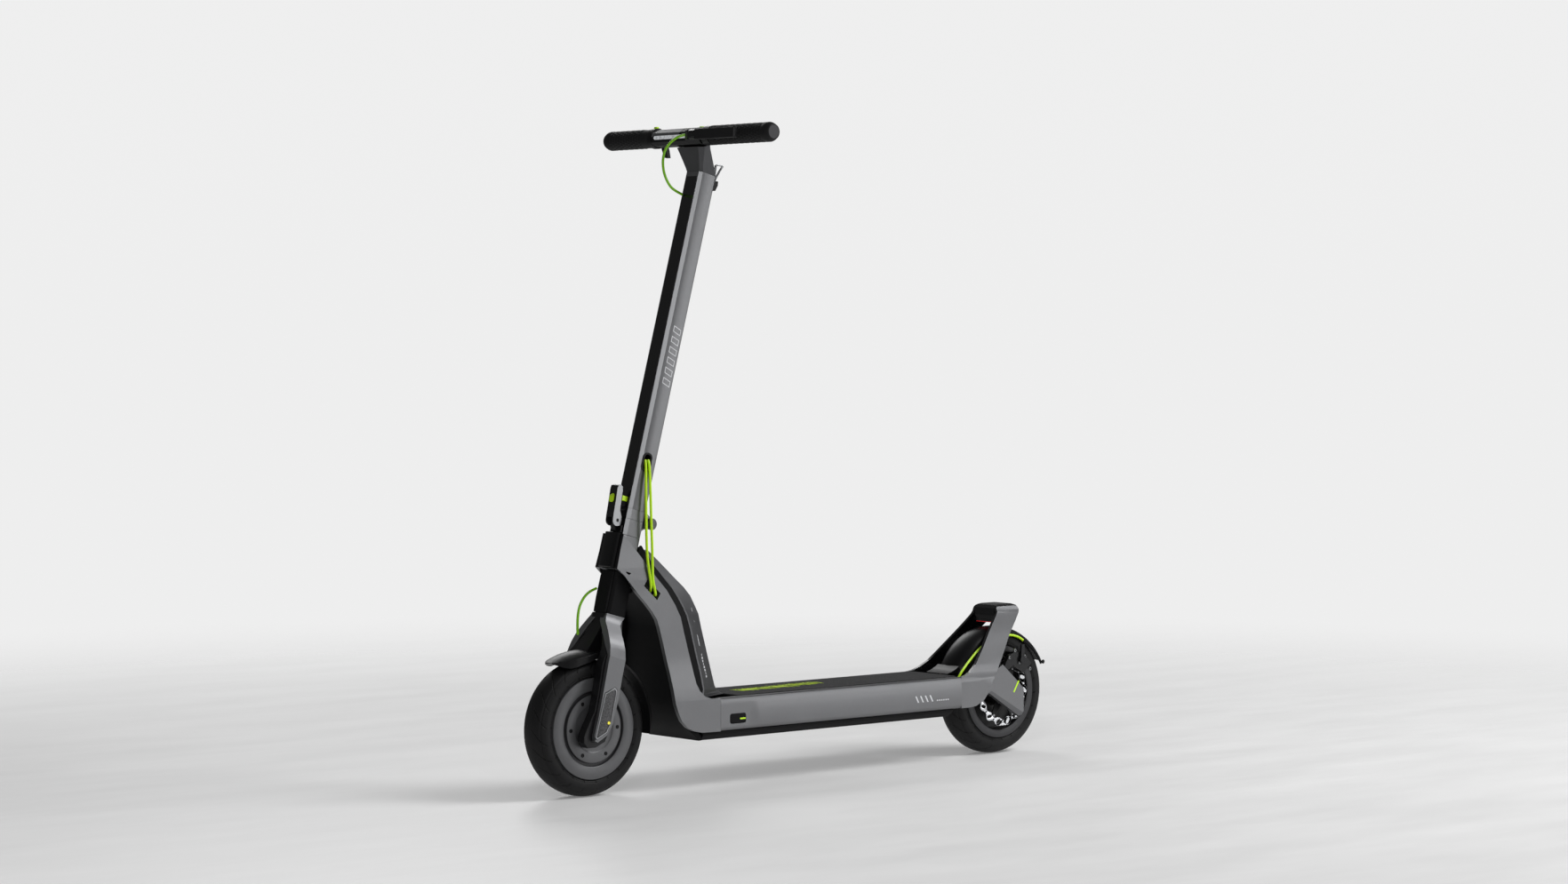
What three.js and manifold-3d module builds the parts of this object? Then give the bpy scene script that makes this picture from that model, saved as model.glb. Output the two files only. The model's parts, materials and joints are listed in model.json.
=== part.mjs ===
import * as THREE from "three";
import { mergeVertices } from "three/addons/utils/BufferGeometryUtils.js";
import Module from "manifold-3d";

// Electric kick scooter. Millimetres, +X forward, +Y to the rider's left, +Z up, ground at Z = 0.

// ---- driving dimensions ----
const TYRE_R = 108;
const TYRE_HALF = 25.6;
const RIM_R = 80.1;
const RIM_HALF = 26;
const FRONT_X = 452;
const REAR_X = -447;
const AXLE_Z = 108;
const LEAN = 15.2;
const AXIS_X = 449.5;
const STEM_W = 40;
const STEM_D = 36;
const FOLD_F = -29;
const FOLD_S = 337;
const SEAM_LOW = 336;
const SEAM_HIGH = 352.5;
const STEM_TOP = 908.5;
const BAR_F = 40;
const BAR_S = 960;
const BAR_R = 11;
const GRIP_END = 207;
const DECK_HALF = 70.6;
const DECK_TOP = 144.5;
const RAIL_BOTTOM = 91.5;
const PAN_BOTTOM = 78.5;
const RAIL_FRONT = 228.2;
const RAIL_REAR = -309.5;
const LEG_IN = 29.5;
const LEG_MID = 47;
const LEG_OUT = 54.6;
const LATCH_F = 29;
const LATCH_S = 329.4;
const GAP = 0.3;

const wasm = await Module();
wasm.setup();
const scene = new THREE.Group();
scene.name = "kick_scooter";

// ---- finishes ----
const finishes = {
  graphite: ["#6d6e71", 0.42, 0.75],
  graphite_dark: ["#4b4c4f", 0.4, 0.7],
  satin_black: ["#1d1e20", 0.55, 0.1],
  gloss_black: ["#0c0d0e", 0.18, 0.2],
  rubber: ["#191a1b", 0.88, 0.0],
  grey_hub: ["#5c5e61", 0.5, 0.5],
  silver: ["#c9ccd0", 0.28, 0.95],
  steel: ["#8e9297", 0.35, 0.9],
  neon: ["#b6e61a", 0.4, 0.0],
  red_lens: ["#c21a1e", 0.2, 0.0],
  clear_lens: ["#eef2f4", 0.12, 0.0],
  amber_lens: ["#d9cf2c", 0.3, 0.0],
  mat: ["#161718", 0.95, 0.0],
};

// ---- solid helpers ----
function weld(geometry) {
  const bare = new THREE.BufferGeometry();
  bare.setAttribute("position", geometry.attributes.position.clone());
  if (geometry.index) {
    bare.setIndex(geometry.index.clone());
  }
  const merged = mergeVertices(bare, 1e-4);
  const pos = merged.attributes.position.array;
  const idx = merged.index.array;
  const tris = [];
  for (let i = 0; i < idx.length; i += 3) {
    const a = idx[i];
    const b = idx[i + 1];
    const c = idx[i + 2];
    if (a !== b && b !== c && c !== a) {
      tris.push(a, b, c);
    }
  }
  let volume = 0;
  for (let i = 0; i < tris.length; i += 3) {
    const [a, b, c] = [tris[i] * 3, tris[i + 1] * 3, tris[i + 2] * 3];
    volume += pos[a] * (pos[b + 1] * pos[c + 2] - pos[b + 2] * pos[c + 1]);
    volume += pos[a + 1] * (pos[b + 2] * pos[c] - pos[b] * pos[c + 2]);
    volume += pos[a + 2] * (pos[b] * pos[c + 1] - pos[b + 1] * pos[c]);
  }
  if (volume < 0) {
    for (let i = 0; i < tris.length; i += 3) {
      const keep = tris[i];
      tris[i] = tris[i + 1];
      tris[i + 1] = keep;
    }
  }
  return { pos: new Float32Array(pos), tris: new Uint32Array(tris) };
}

function solid(geometry) {
  const { pos, tris } = weld(geometry);
  const mesh = new wasm.Mesh({ numProp: 3, vertProperties: pos, triVerts: tris });
  mesh.merge();
  return new wasm.Manifold(mesh);
}

function moved(body, x, y, z) {
  return body.translate([x, y, z]);
}

function mirrored(body) {
  return body.mirror([0, 1, 0]);
}

function block(x0, x1, y0, y1, z0, z1) {
  const g = new THREE.BoxGeometry(x1 - x0, y1 - y0, z1 - z0);
  g.translate((x0 + x1) / 2, (y0 + y1) / 2, (z0 + z1) / 2);
  return solid(g);
}

function shapeOf(points) {
  return new THREE.Shape(points.map((p) => new THREE.Vector2(p[0], p[1])));
}

function extrude(shape, depth) {
  return new THREE.ExtrudeGeometry(shape, { depth, bevelEnabled: false, steps: 1, curveSegments: 8 });
}

// side-view outline in X and Z, given a width along Y
function plateY(points, y0, y1) {
  const shape = points instanceof THREE.Shape ? points : shapeOf(points);
  const g = extrude(shape, y1 - y0);
  g.rotateX(Math.PI / 2);
  g.translate(0, y1, 0);
  return solid(g);
}

// front-view outline in Y and Z, given a length along X
function plateX(points, x0, x1) {
  const g = extrude(shapeOf(points), x1 - x0);
  g.applyMatrix4(new THREE.Matrix4().set(0, 0, 1, 0, 1, 0, 0, 0, 0, 1, 0, 0, 0, 0, 0, 1));
  g.translate(x0, 0, 0);
  return solid(g);
}

// plan outline in X and Y, given a height along Z
function plateZ(points, z0, z1) {
  const shape = points instanceof THREE.Shape ? points : shapeOf(points);
  const g = extrude(shape, z1 - z0);
  g.translate(0, 0, z0);
  return solid(g);
}

// turned body about the Y direction through (x, z); the profile is [radius, y]
function turnY(profile, x, z, segments = 48) {
  const g = new THREE.LatheGeometry(profile.map((p) => new THREE.Vector2(p[0], p[1])), segments);
  g.translate(x, 0, z);
  return solid(g);
}

// turned body about the Z direction through (x, y); the profile is [radius, z]
function turnZ(profile, x, y, segments = 32) {
  const g = new THREE.LatheGeometry(profile.map((p) => new THREE.Vector2(p[0], p[1])), segments);
  g.rotateX(Math.PI / 2);
  g.translate(x, y, 0);
  return solid(g);
}

function rodY(radius, y0, y1, x, z, segments = 24) {
  return turnY([[0, y0], [radius, y0], [radius, y1], [0, y1]], x, z, segments);
}

function ringY(inner, outer, y0, y1, x, z, segments = 32) {
  return turnY([[inner, y0], [outer, y0], [outer, y1], [inner, y1], [inner, y0]], x, z, segments);
}

function rodZ(radius, z0, z1, x, y, segments = 24) {
  return turnZ([[0, z0], [radius, z0], [radius, z1], [0, z1]], x, y, segments);
}

function ringZ(inner, outer, z0, z1, x, y, segments = 32) {
  return turnZ([[inner, z0], [outer, z0], [outer, z1], [inner, z1], [inner, z0]], x, y, segments);
}

function cord(points, radius, steps, sides = 6) {
  const path = new THREE.CatmullRomCurve3(points.map((p) => new THREE.Vector3(p[0], p[1], p[2])));
  const circle = new THREE.Shape();
  for (let i = 0; i < sides; i += 1) {
    const a = (i / sides) * Math.PI * 2;
    const x = radius * Math.cos(a);
    const y = radius * Math.sin(a);
    if (i === 0) {
      circle.moveTo(x, y);
    } else {
      circle.lineTo(x, y);
    }
  }
  const g = new THREE.ExtrudeGeometry(circle, { extrudePath: path, steps, bevelEnabled: false });
  return solid(g);
}

// closed skin through rings with the same number of points; the rings are convex
function loft(rings) {
  const n = rings[0].length;
  const flat = [];
  for (const ring of rings) {
    for (const p of ring) {
      flat.push(p[0], p[1], p[2]);
    }
  }
  const index = [];
  for (let r = 0; r < rings.length - 1; r += 1) {
    for (let i = 0; i < n; i += 1) {
      const a = r * n + i;
      const b = r * n + ((i + 1) % n);
      index.push(a, b, b + n, a, b + n, a + n);
    }
  }
  const last = (rings.length - 1) * n;
  for (let i = 1; i < n - 1; i += 1) {
    index.push(0, i + 1, i);
    index.push(last, last + i, last + i + 1);
  }
  const g = new THREE.BufferGeometry();
  g.setAttribute("position", new THREE.BufferAttribute(new Float32Array(flat), 3));
  g.setIndex(index);
  return solid(g);
}

// rectangle outline with cut corners
function cutRect(x0, x1, y0, y1, c) {
  return [
    [x0 + c, y0], [x1 - c, y0], [x1, y0 + c], [x1, y1 - c],
    [x1 - c, y1], [x0 + c, y1], [x0, y1 - c], [x0, y0 + c],
  ];
}

function roundRect(x0, x1, y0, y1, r) {
  const s = new THREE.Shape();
  s.moveTo(x0 + r, y0);
  s.lineTo(x1 - r, y0);
  s.absarc(x1 - r, y0 + r, r, -Math.PI / 2, 0, false);
  s.lineTo(x1, y1 - r);
  s.absarc(x1 - r, y1 - r, r, 0, Math.PI / 2, false);
  s.lineTo(x0 + r, y1);
  s.absarc(x0 + r, y1 - r, r, Math.PI / 2, Math.PI, false);
  s.lineTo(x0, y0 + r);
  s.absarc(x0 + r, y0 + r, r, Math.PI, Math.PI * 1.5, false);
  return s;
}

function arcPoints(cx, cz, radius, from, to, count) {
  const out = [];
  for (let i = 0; i <= count; i += 1) {
    const a = ((from + ((to - from) * i) / count) * Math.PI) / 180;
    out.push([cx + radius * Math.cos(a), cz + radius * Math.sin(a)]);
  }
  return out;
}

function both(points) {
  const right = points.map((p) => [-p[0], p[1]]).reverse();
  return points.concat(right);
}

// ---- steering frame: f forward of the steering axis, s along it, measured from axle height ----
function steered(body) {
  return moved(body.rotate([0, -LEAN, 0]), AXIS_X, 0, AXLE_Z);
}

const leanCos = Math.cos((LEAN * Math.PI) / 180);
const leanSin = Math.sin((LEAN * Math.PI) / 180);

function fromWorld(x, z) {
  const dx = x - AXIS_X;
  const dz = z - AXLE_Z;
  return [dx * leanCos + dz * leanSin, -dx * leanSin + dz * leanCos];
}

function toWorld(f, s) {
  return [AXIS_X + f * leanCos - s * leanSin, AXLE_Z + f * leanSin + s * leanCos];
}

function part(name, body, finish) {
  const mesh = body.getMesh();
  const g = new THREE.BufferGeometry();
  const stride = mesh.numProp;
  const count = mesh.vertProperties.length / stride;
  const pos = new Float32Array(count * 3);
  for (let i = 0; i < count; i += 1) {
    for (let k = 0; k < 3; k += 1) {
      pos[i * 3 + k] = mesh.vertProperties[i * stride + k];
    }
  }
  g.setAttribute("position", new THREE.BufferAttribute(pos, 3));
  g.setIndex(new THREE.BufferAttribute(new Uint32Array(mesh.triVerts), 1));
  const [color, roughness, metalness] = finishes[finish];
  const node = new THREE.Mesh(g, new THREE.MeshStandardMaterial({ color, roughness, metalness }));
  node.name = name;
  scene.add(node);
  return body;
}

// ==== down-tube and deck ====
// outer half-width of the down-tube at each height, top to bottom
const flare = [
  [26, 430], [26.3, 384], [28, 358], [31, 338], [35, 320], [40.5, 300], [46, 280],
  [51.5, 260], [56.5, 240], [62, 215], [66.5, 190], [69.5, 165], [DECK_HALF, 145], [DECK_HALF, 70],
];

function flareBody(inset) {
  return plateX(both(flare.map((p) => [p[0] - inset, p[1]])), 120, 470);
}

const tubeFront = [
  [406.9, 358.1], [394, 347], [381.6, 331.4], [369.5, 315.5], [357.5, 301], [347.5, 287], [341.5, 275],
  [339.5, 262], [337.5, 243], [334.4, 212], [328.7, 179], [321.5, 141], [316, 126.5], [309, 113],
  [298, 102.6], [285, 96], [267, 92], [RAIL_FRONT + GAP, RAIL_BOTTOM],
];
const tubeRear = [
  [RAIL_FRONT + GAP, DECK_TOP], [247.6, 145.1], [260.6, 149.6], [271, 158.7], [277.8, 170.5], [282, 187.7],
  [287.4, 220], [291, 253], [292.4, 277], [300, 298], [311.3, 320], [326.3, 338], [347.3, 363],
  [365.3, 383.5],
];
const headTop = [toWorld(-9, 288), toWorld(24.5, 308)];
const tubeSide = tubeFront.concat(tubeRear.slice(0, 13), headTop);

function shifted(points, dx, dz) {
  return points.map((p) => [p[0] + dx, p[1] + dz]);
}

const headBarrel = steered(rodZ(25.4, 252.3, 286, 0, 0, 32));
const steererHole = steered(rodZ(14.6, 240, 340, 0, 0, 32));
const headTurret = steered(plateZ(cutRect(-18, 18, -20, 20, 5), 262, 309.2));
const crownClear = steered(rodZ(29.6, 120, 252, 0, 0, 32));

const panelInner = [
  [262, PAN_BOTTOM], [262, 87], [278, 99], [291, 113], [300, 128], [306, 143], [313.5, 179], [319.5, 212],
  [322.5, 243], [324.5, 266], [329, 280], [337, 294], [348, 309], [360, 324], [373, 340], [384, 352],
];
const frontCut = plateY(
  [[470, 60], [261, 60], ...shifted(panelInner, -0.6, 0.3), [470, 352.3]], -90, 90,
).intersect(flareBody(8));
const rearCutLine = [
  [281, 70], [281, 130], [285, 146], [289, 165], [294, 188], [299, 220], [303, 253], [305, 277], [313, 298],
  [324, 320], [339, 338], [359, 361], [379, 384], [392, 430],
];
const rearCut = plateY([...rearCutLine, [100, 430], [100, 70]], -90, 90).intersect(flareBody(8)).subtract(headBarrel);

const strandSlot = plateY([[356.5, 329], [347.4, 339], [325, 315.7], [334.5, 305.5]], 15, 60);
let neck = plateY(tubeSide, -90, 90).intersect(flareBody(0));
neck = neck.subtract(frontCut).subtract(rearCut).add(headBarrel).add(headTurret);
neck = neck.subtract(steererHole).subtract(crownClear).subtract(strandSlot);
part("neck_casting", neck, "graphite");

// black nose in front of the head
const noseShape = [[24.9, -20], [28, -16], [30, -9], [30, 9], [28, 16], [24.9, 20]];
let nose = plateZ(noseShape, 253.5, 311);
nose = nose.subtract(rodZ(25.8, 240, 330, 0, 0, 32));
nose = nose.intersect(plateY([[0, 253.5], [28.4, 253.5], [31, 260], [29, 311], [0, 311]], -40, 40));
part("head_nose", steered(nose), "satin_black");


// black liner and raised grey spine behind the tube
const linerRear = [
  [262, 146.4], [258.5, 160], [260, 170], [263, 188], [267, 210], [271, 253], [273.4, 277], [281, 298],
  [292.3, 320], [307.3, 338], [329, 363], [349, 392],
];
let liner = plateY([...linerRear, ...shifted(rearCutLine, -GAP, 0).slice(2, 13).reverse()], -90, 90);
liner = liner.intersect(flareBody(8.4)).subtract(steered(rodZ(26, 245, 340, 0, 0, 32)));
liner = liner.subtract(strandSlot);
part("channel_liner", liner, "satin_black");

function flareAt(z) {
  for (let i = 0; i < flare.length - 1; i += 1) {
    const [w0, z0] = flare[i];
    const [w1, z1] = flare[i + 1];
    if (z <= z0 && z >= z1) {
      return w0 + ((w1 - w0) * (z0 - z)) / (z0 - z1);
    }
  }
  return DECK_HALF;
}

function spineRing(z, xBase, xRear, rearHalf) {
  const w = flareAt(z) - 8.8;
  const x = xBase - 0.9;
  return [
    [x, -w, z], [x - 3, -w, z], [xRear + 5, -rearHalf - 2.5, z], [xRear, -rearHalf + 3, z],
    [xRear, rearHalf - 3, z], [xRear + 5, rearHalf + 2.5, z], [x - 3, w, z], [x, w, z],
  ];
}

const spine = loft([
  spineRing(159.6, 258.5, 200.5, 25), spineRing(184, 262.2, 208, 25), spineRing(218, 267.8, 218, 25),
  spineRing(256, 271.2, 229, 25), spineRing(278, 273.8, 234, 24), spineRing(292, 278.8, 241, 23),
  spineRing(308, 286, 249, 21), spineRing(322, 294, 261, 19), spineRing(338, 307.3, 279, 17),
  spineRing(363, 329, 306, 14), spineRing(384, 343.5, 330, 12),
]);
const foot = loft([
  spineRing(146.4, 262, 184, 27), spineRing(148.5, 261.5, 190, 26.5), spineRing(152.5, 260.5, 196, 25.5),
  spineRing(160, 258.6, 200.6, 25),
]);
part("spine_cover", spine.add(foot), "graphite_dark");

// front closing panel between the two tube sides
const panelOuter = [
  [390, 352], [379, 336], [366, 320], [354, 305], [343, 290], [335, 275], [331, 262], [329.3, 243],
  [326.5, 212], [320.5, 179], [313, 141], [307, 124], [298, 108], [286, 95], [272, 84], [268, PAN_BOTTOM],
];
let panel = plateY(panelOuter.concat(panelInner), -90, 90).intersect(flareBody(8.4));
panel = panel.subtract(steered(rodZ(30, 120, 300, 0, 0, 32)));
part("front_panel", panel, "satin_black");

// side rails
const railSection = [
  [56.6, DECK_TOP], [66.5, DECK_TOP], [69.6, 142.8], [DECK_HALF, 139], [DECK_HALF, 96.5], [69, 93],
  [66, RAIL_BOTTOM], [58, RAIL_BOTTOM], [58, 95], [62.5, 97], [62.5, 133], [56.6, 136.5],
];
const portX0 = 175;
const portX1 = 209;
const portZ0 = 101.8;
const portZ1 = 118.2;
const portHole = plateY(roundRect(portX0, portX1, portZ0, portZ1, 4), 60, 75);
const rail = plateX(railSection, RAIL_REAR, RAIL_FRONT);
part("deck_rail_left", rail.subtract(portHole), "graphite");
part("deck_rail_right", mirrored(rail), "graphite");

const socketFace = plateY(roundRect(portX0 + 0.4, portX1 - 0.4, portZ0 + 0.4, portZ1 - 0.4, 3.6), 60.5, 66.4);
const socketWell = rodY(5, 62.5, 70, 186, 110, 24);
part("charge_socket", socketFace.subtract(socketWell), "satin_black");
const cap = plateY(roundRect(portX0 + 0.8, portX1 - 0.8, portZ0 + 0.8, portZ1 - 0.8, 3.2), 67.2, 70.9);
part("charge_cap", cap, "graphite_dark");

// deck plate, mat, pan, battery, controller
part("deck_board", block(-318, 178, -56, 56, 138, 142.6), "satin_black");
const matShape = roundRect(-312, 180, -55.5, 55.5, 5);
part("grip_mat", plateZ(matShape, 142.9, 145.6), "mat");
const panSection = [
  [-66, 91], [-66, 86.5], [-59, PAN_BOTTOM], [59, PAN_BOTTOM], [66, 86.5], [66, 91], [57.6, 91], [57.6, 82],
  [-57.6, 82], [-57.6, 91],
];
let pan = plateX(panSection, -298, 261.6);
pan = pan.add(plateX(panSection.slice(0, 6), 254, 261.6)).add(plateX(panSection.slice(0, 6), -298, -288));
pan = pan.subtract(plateY([[-310, 70], [-281, 70], [-290, 81], [-296, 91.5], [-310, 91.5]], -90, 90));
part("deck_pan", pan, "satin_black");
part("battery_pack", block(-255, 120, -50, 50, 82.4, 134), "satin_black");

// folding stand on the right edge of the deck
const standX = 40;
const standZ = 84;
const standRoot = block(standX + 9, standX + 24, -75.5, -66.4, 79.5, 91.1);
const standCheek = block(standX - 10, standX + 24, -75.5, -72.8, 76.5, 91.1);
part("stand_bracket", standRoot.add(standCheek), "satin_black");
let standLeg = rodY(6.5, -72.4, -67, standX, standZ, 24);
standLeg = standLeg.add(block(standX - 74, standX, -72.4, -67, 80.5, 87.5));
standLeg = standLeg.add(plateY(cutRect(standX - 82, standX - 66, 78.5, 89.5, 3), -74, -66.6));
part("kickstand_leg", standLeg, "graphite_dark");

// ==== rear hoop, arms, fender ====
const hoopFlare = [
  [20, 259.5], [26.5, 256], [30, 249], [31, 243], [35.5, 227.5], [41.5, 211], [50, 190], [55, 176],
  [60.5, 162], [66, 151], [69.5, 143], [DECK_HALF, 136], [DECK_HALF, 91.5],
];
const hoopSide = [
  [RAIL_REAR - GAP, RAIL_BOTTOM], [RAIL_REAR - GAP, DECK_TOP], [-322, 146.2], [-336, 151.5], [-354, 163],
  [-381.6, 190], [-402, 211], [-418, 227.5], [-431, 241], [-434.5, 247], [-434.5, 253], [-439, 258],
  [-446, 259.5], [-478, 259.5], [-485, 257], [-488, 250], [-486.6, 244], [-474.8, 230], [-448.8, 204],
  [-420.6, 171], [-390, 140], [-375.5, 115], [-363, 101], [-345, 93], [-330, RAIL_BOTTOM],
];

function hoopFlareBody(inset, drop) {
  const half = hoopFlare.map((p) => [Math.max(p[0] - inset, 1), p[1] - drop]);
  return plateX(both(half), -520, -290);
}

const hoopInner = hoopFlareBody(5.8, 0).intersect(block(-520, -290, -90, 90, 60, 251));
const hoopSolid = plateY(hoopSide, -90, 90).intersect(hoopFlareBody(0, 0));
const hoopShell = hoopSolid.subtract(hoopInner);
const armSide = [
  [-381, 114], [-394, 109], [-463, 66.5], [-470.7, 68.5], [-475, 75], [-475, 113.1], [-463.8, 124.6], [-424, 158],
  [-407, 150], [-390, 128],
];
const armRoot = [[-366, 106], [-381, 114], [-395, 120], [-409, 144], [-398, 146], [-372, 120]];
let hoopLeft = hoopShell.subtract(block(-520, -290, -90, 23.9, 60, 300));
hoopLeft = hoopLeft.add(plateY(armSide, 46, 55.6)).add(plateY(armRoot, 46, 66.4));
hoopLeft = hoopLeft.subtract(rodY(6.3, 30, 52.5, REAR_X, AXLE_Z, 24));
part("hoop_left", hoopLeft, "graphite");
part("hoop_right", mirrored(hoopLeft), "graphite");
let bridge = hoopShell.intersect(block(-520, -290, -23.6, 23.6, 240, 300));
const bridgeFace = [[-434.4, 252], [-433, 240], [-433, 233.2], [-446, 233.2], [-472, 240], [-480, 252]];
bridge = bridge.add(plateY(bridgeFace, -23.6, 23.6));
part("hoop_bridge", bridge, "gloss_black");

// crowned sheet around the tyre, from the deck to the tail
const crownHalf = [
  [109.9, 8.6], [108.2, 15], [105.2, 20.4], [101, 25], [96.4, 27.4], [98, 29.4], [103.4, 27], [107.6, 22],
  [110.6, 16], [112.3, 9],
];
const crownProfile = [
  [110.4, 0], ...crownHalf, [112.9, 0], ...crownHalf.map((p) => [p[0], -p[1]]).reverse(), [110.4, 0],
];
let fender = turnY(crownProfile, REAR_X, AXLE_Z, 72);
const fenderSector = [
  [REAR_X, AXLE_Z], [-300, 213], [-300, 300], [-600, 300], [-600, 165], [-563, 153.6], [-553, 143.6], [-530, 140],
];
fender = fender.intersect(plateY(fenderSector, -40, 40));
const fenderFoot = [[-318.5, 146.4], [-324, 146.4], [-334, 153.5], [-351, 168], [-362, 180], [-350, 181]];
fender = fender.add(plateY([...fenderFoot, [-341, 172.6], [-330, 158]], -24, 24).subtract(
  turnY([[0, -40], [110.2, -40], [110.2, 40], [0, 40]], REAR_X, AXLE_Z, 64)));
const tail = [[-551, 149.5], [-556, 150], [-560, 146], [-553, 144.5], [-550.5, 146]];
fender = fender.add(plateY(tail, -26, 26));
part("rear_fender", fender, "satin_black");
const lamp = plateY([[-431.6, 229.4], [-431.6, 233], [-441, 233], [-441, 229.4]], -23.4, 23.4);
part("tail_light", lamp, "red_lens");

// ==== wheels ====
const tyreHalf = [
  [80.5, 0], [80.5, 21], [83, 23.6], [88, 25.4], [92, TYRE_HALF], [97, 24.6], [102, 21], [105.6, 15],
  [107.5, 8], [TYRE_R, 0],
];
const tyreProfile = tyreHalf.concat(tyreHalf.slice(1, -1).reverse().map((p) => [p[0], -p[1]]), [[80.5, 0]]);
const frontTyre = turnY(tyreProfile, FRONT_X, AXLE_Z, 48);
part("front_tyre", frontTyre, "rubber");
const hubHalf = [
  [6.6, 0], [6.6, 28], [22.5, 28], [24, 25.6], [36.5, 25.6], [38, 26.6], [52.6, 26.6], [54.3, 25],
  [54.6, 21.5], [65.4, 21.5], [66.4, 25], [68, RIM_HALF], [79.2, RIM_HALF], [RIM_R, 25], [RIM_R, 0],
];
const hubProfile = hubHalf.concat(hubHalf.slice(1, -1).reverse().map((p) => [p[0], -p[1]]), [[6.6, 0]]);
part("front_hub", turnY(hubProfile, FRONT_X, AXLE_Z, 40), "grey_hub");
part("front_axle", rodY(6.2, -46.4, 46.4, FRONT_X, AXLE_Z, 24), "steel");

part("rear_tyre", moved(frontTyre, REAR_X - FRONT_X, 0, 0), "rubber");
const rearProfile = [
  [6.6, -26], [40, -26], [42, -22], [63, -22], [66, -RIM_HALF], [79.2, -RIM_HALF], [RIM_R, -25], [RIM_R, 25],
  [79.2, RIM_HALF], [67, RIM_HALF], [65.6, 24], [64.6, 6], [24, 4], [23, 30.6], [15, 30.6], [15, 33.4],
  [6.6, 33.4], [6.6, -26],
];
part("rear_hub", turnY(rearProfile, REAR_X, AXLE_Z, 40), "grey_hub");
let rearAxle = rodY(6, -52, 52, REAR_X, AXLE_Z, 24);
const nutLeft = turnY([[0, 35.5], [10, 35.5], [10, 45.7], [0, 45.7]], REAR_X, AXLE_Z, 6);
const nutRight = turnY([[0, -45.7], [10, -45.7], [10, -32], [0, -32]], REAR_X, AXLE_Z, 6);
rearAxle = rearAxle.add(nutLeft).add(nutRight);
part("rear_axle", rearAxle, "steel");

// wavy brake disc
const disc = new THREE.Shape();
const lobes = 12;
for (let i = 0; i < 96; i += 1) {
  const a = (i / 96) * Math.PI * 2;
  const r = 57.6 + 2.6 * Math.cos(a * lobes);
  const x = REAR_X + r * Math.cos(a);
  const z = AXLE_Z + r * Math.sin(a);
  if (i === 0) {
    disc.moveTo(x, z);
  } else {
    disc.lineTo(x, z);
  }
}
for (let i = 0; i < lobes; i += 1) {
  const a = (i / lobes) * Math.PI * 2;
  const hole = new THREE.Path();
  hole.absellipse(REAR_X + 53.2 * Math.cos(a), AXLE_Z + 53.2 * Math.sin(a), 5, 2.6, 0, Math.PI * 2, true, a + 0.9);
  disc.holes.push(hole);
}
for (let i = 0; i < 6; i += 1) {
  const a0 = (i / 6) * Math.PI * 2 + 0.12;
  const a1 = a0 + Math.PI / 3 - 0.24;
  const hole = new THREE.Path();
  hole.absarc(REAR_X, AXLE_Z, 45, a0, a1, false);
  hole.absarc(REAR_X, AXLE_Z, 28, a1 - 0.05, a0 + 0.05, true);
  disc.holes.push(hole);
}
const rotor = plateY(disc, 30.9, 32.9).subtract(rodY(15.4, 20, 40, REAR_X, AXLE_Z, 24));
part("brake_disc", rotor, "silver");

// brake caliper over the top rear of the disc
function polar(r, deg) {
  const a = (deg * Math.PI) / 180;
  return [REAR_X + r * Math.cos(a), AXLE_Z + r * Math.sin(a)];
}
const caliperSide = [polar(46, 106), polar(70, 100), polar(78, 118), polar(74, 140), polar(50, 142)];
let caliper = plateY(caliperSide, 27.2, 45.4);
const discGap = rodY(61.6, 29.3, 34.6, REAR_X, AXLE_Z, 48);
caliper = caliper.subtract(discGap);
caliper = caliper.add(plateY([polar(48, 106), polar(69, 101), [-449, 172], [-437, 152], [-446, 146]], 39, 45.4));
const padSide = [polar(49, 112), polar(59, 110), polar(59, 134), polar(49, 136)];
caliper = caliper.add(plateY(padSide, 33.3, 36)).add(plateY(padSide, 28, 30.5));
part("caliper_body", caliper, "satin_black");
const armPivot = polar(64, 120);
let calArm = rodY(6.5, 45.9, 50.4, armPivot[0], armPivot[1], 24);
calArm = calArm.add(plateY([
  [armPivot[0] - 4, armPivot[1] - 3], [armPivot[0] + 5, armPivot[1] - 3],
  [armPivot[0] + 3, armPivot[1] + 26], [armPivot[0] - 4, armPivot[1] + 26],
], 45.9, 49.4));
part("caliper_arm", calArm, "silver");

// ==== fork (steers) ====
let column = plateZ(cutRect(-18, 18, -20, 20, 5), 309.8, SEAM_LOW - GAP);
column = column.add(rodZ(14, 251.2, 310.2, 0, 0, 32));
const lugRadius = 9;
const forkLug = moved(rodY(lugRadius, -8, 8, 0, 0, 24), FOLD_F, 0, FOLD_S);
const forkLugWeb = plateY([[-17, 318], [-24, 324], [-37.6, FOLD_S - 2], [-30, 340], [-19, 335], [-17, 333]], -8, 8);
column = column.add(forkLug.add(forkLugWeb).subtract(block(-18.2, 0, -9, 9, SEAM_LOW - GAP, 350)));
column = column.subtract(rodY(3.3, -30, 30, FOLD_F, FOLD_S, 24));

const crown = plateZ(cutRect(-21.6, 17, -18.5, 18.5, 4), 182, 251);
const crownCut = plateY([[-30, 251], [-30, 182], [-21.6, 190], [-16.5, 232], [-16.5, 251]], -30, 30);
part("fork_crown", steered(crown.subtract(crownCut)), "graphite");
const fasciaFront = [[17.3, 182], [20.5, 182], [21.6, 206], [21.4, 240], [20, 250.8], [17.3, 250.8]];
let fascia = plateY(fasciaFront, -15, 15);
part("fork_fascia", steered(fascia), "satin_black");

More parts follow.
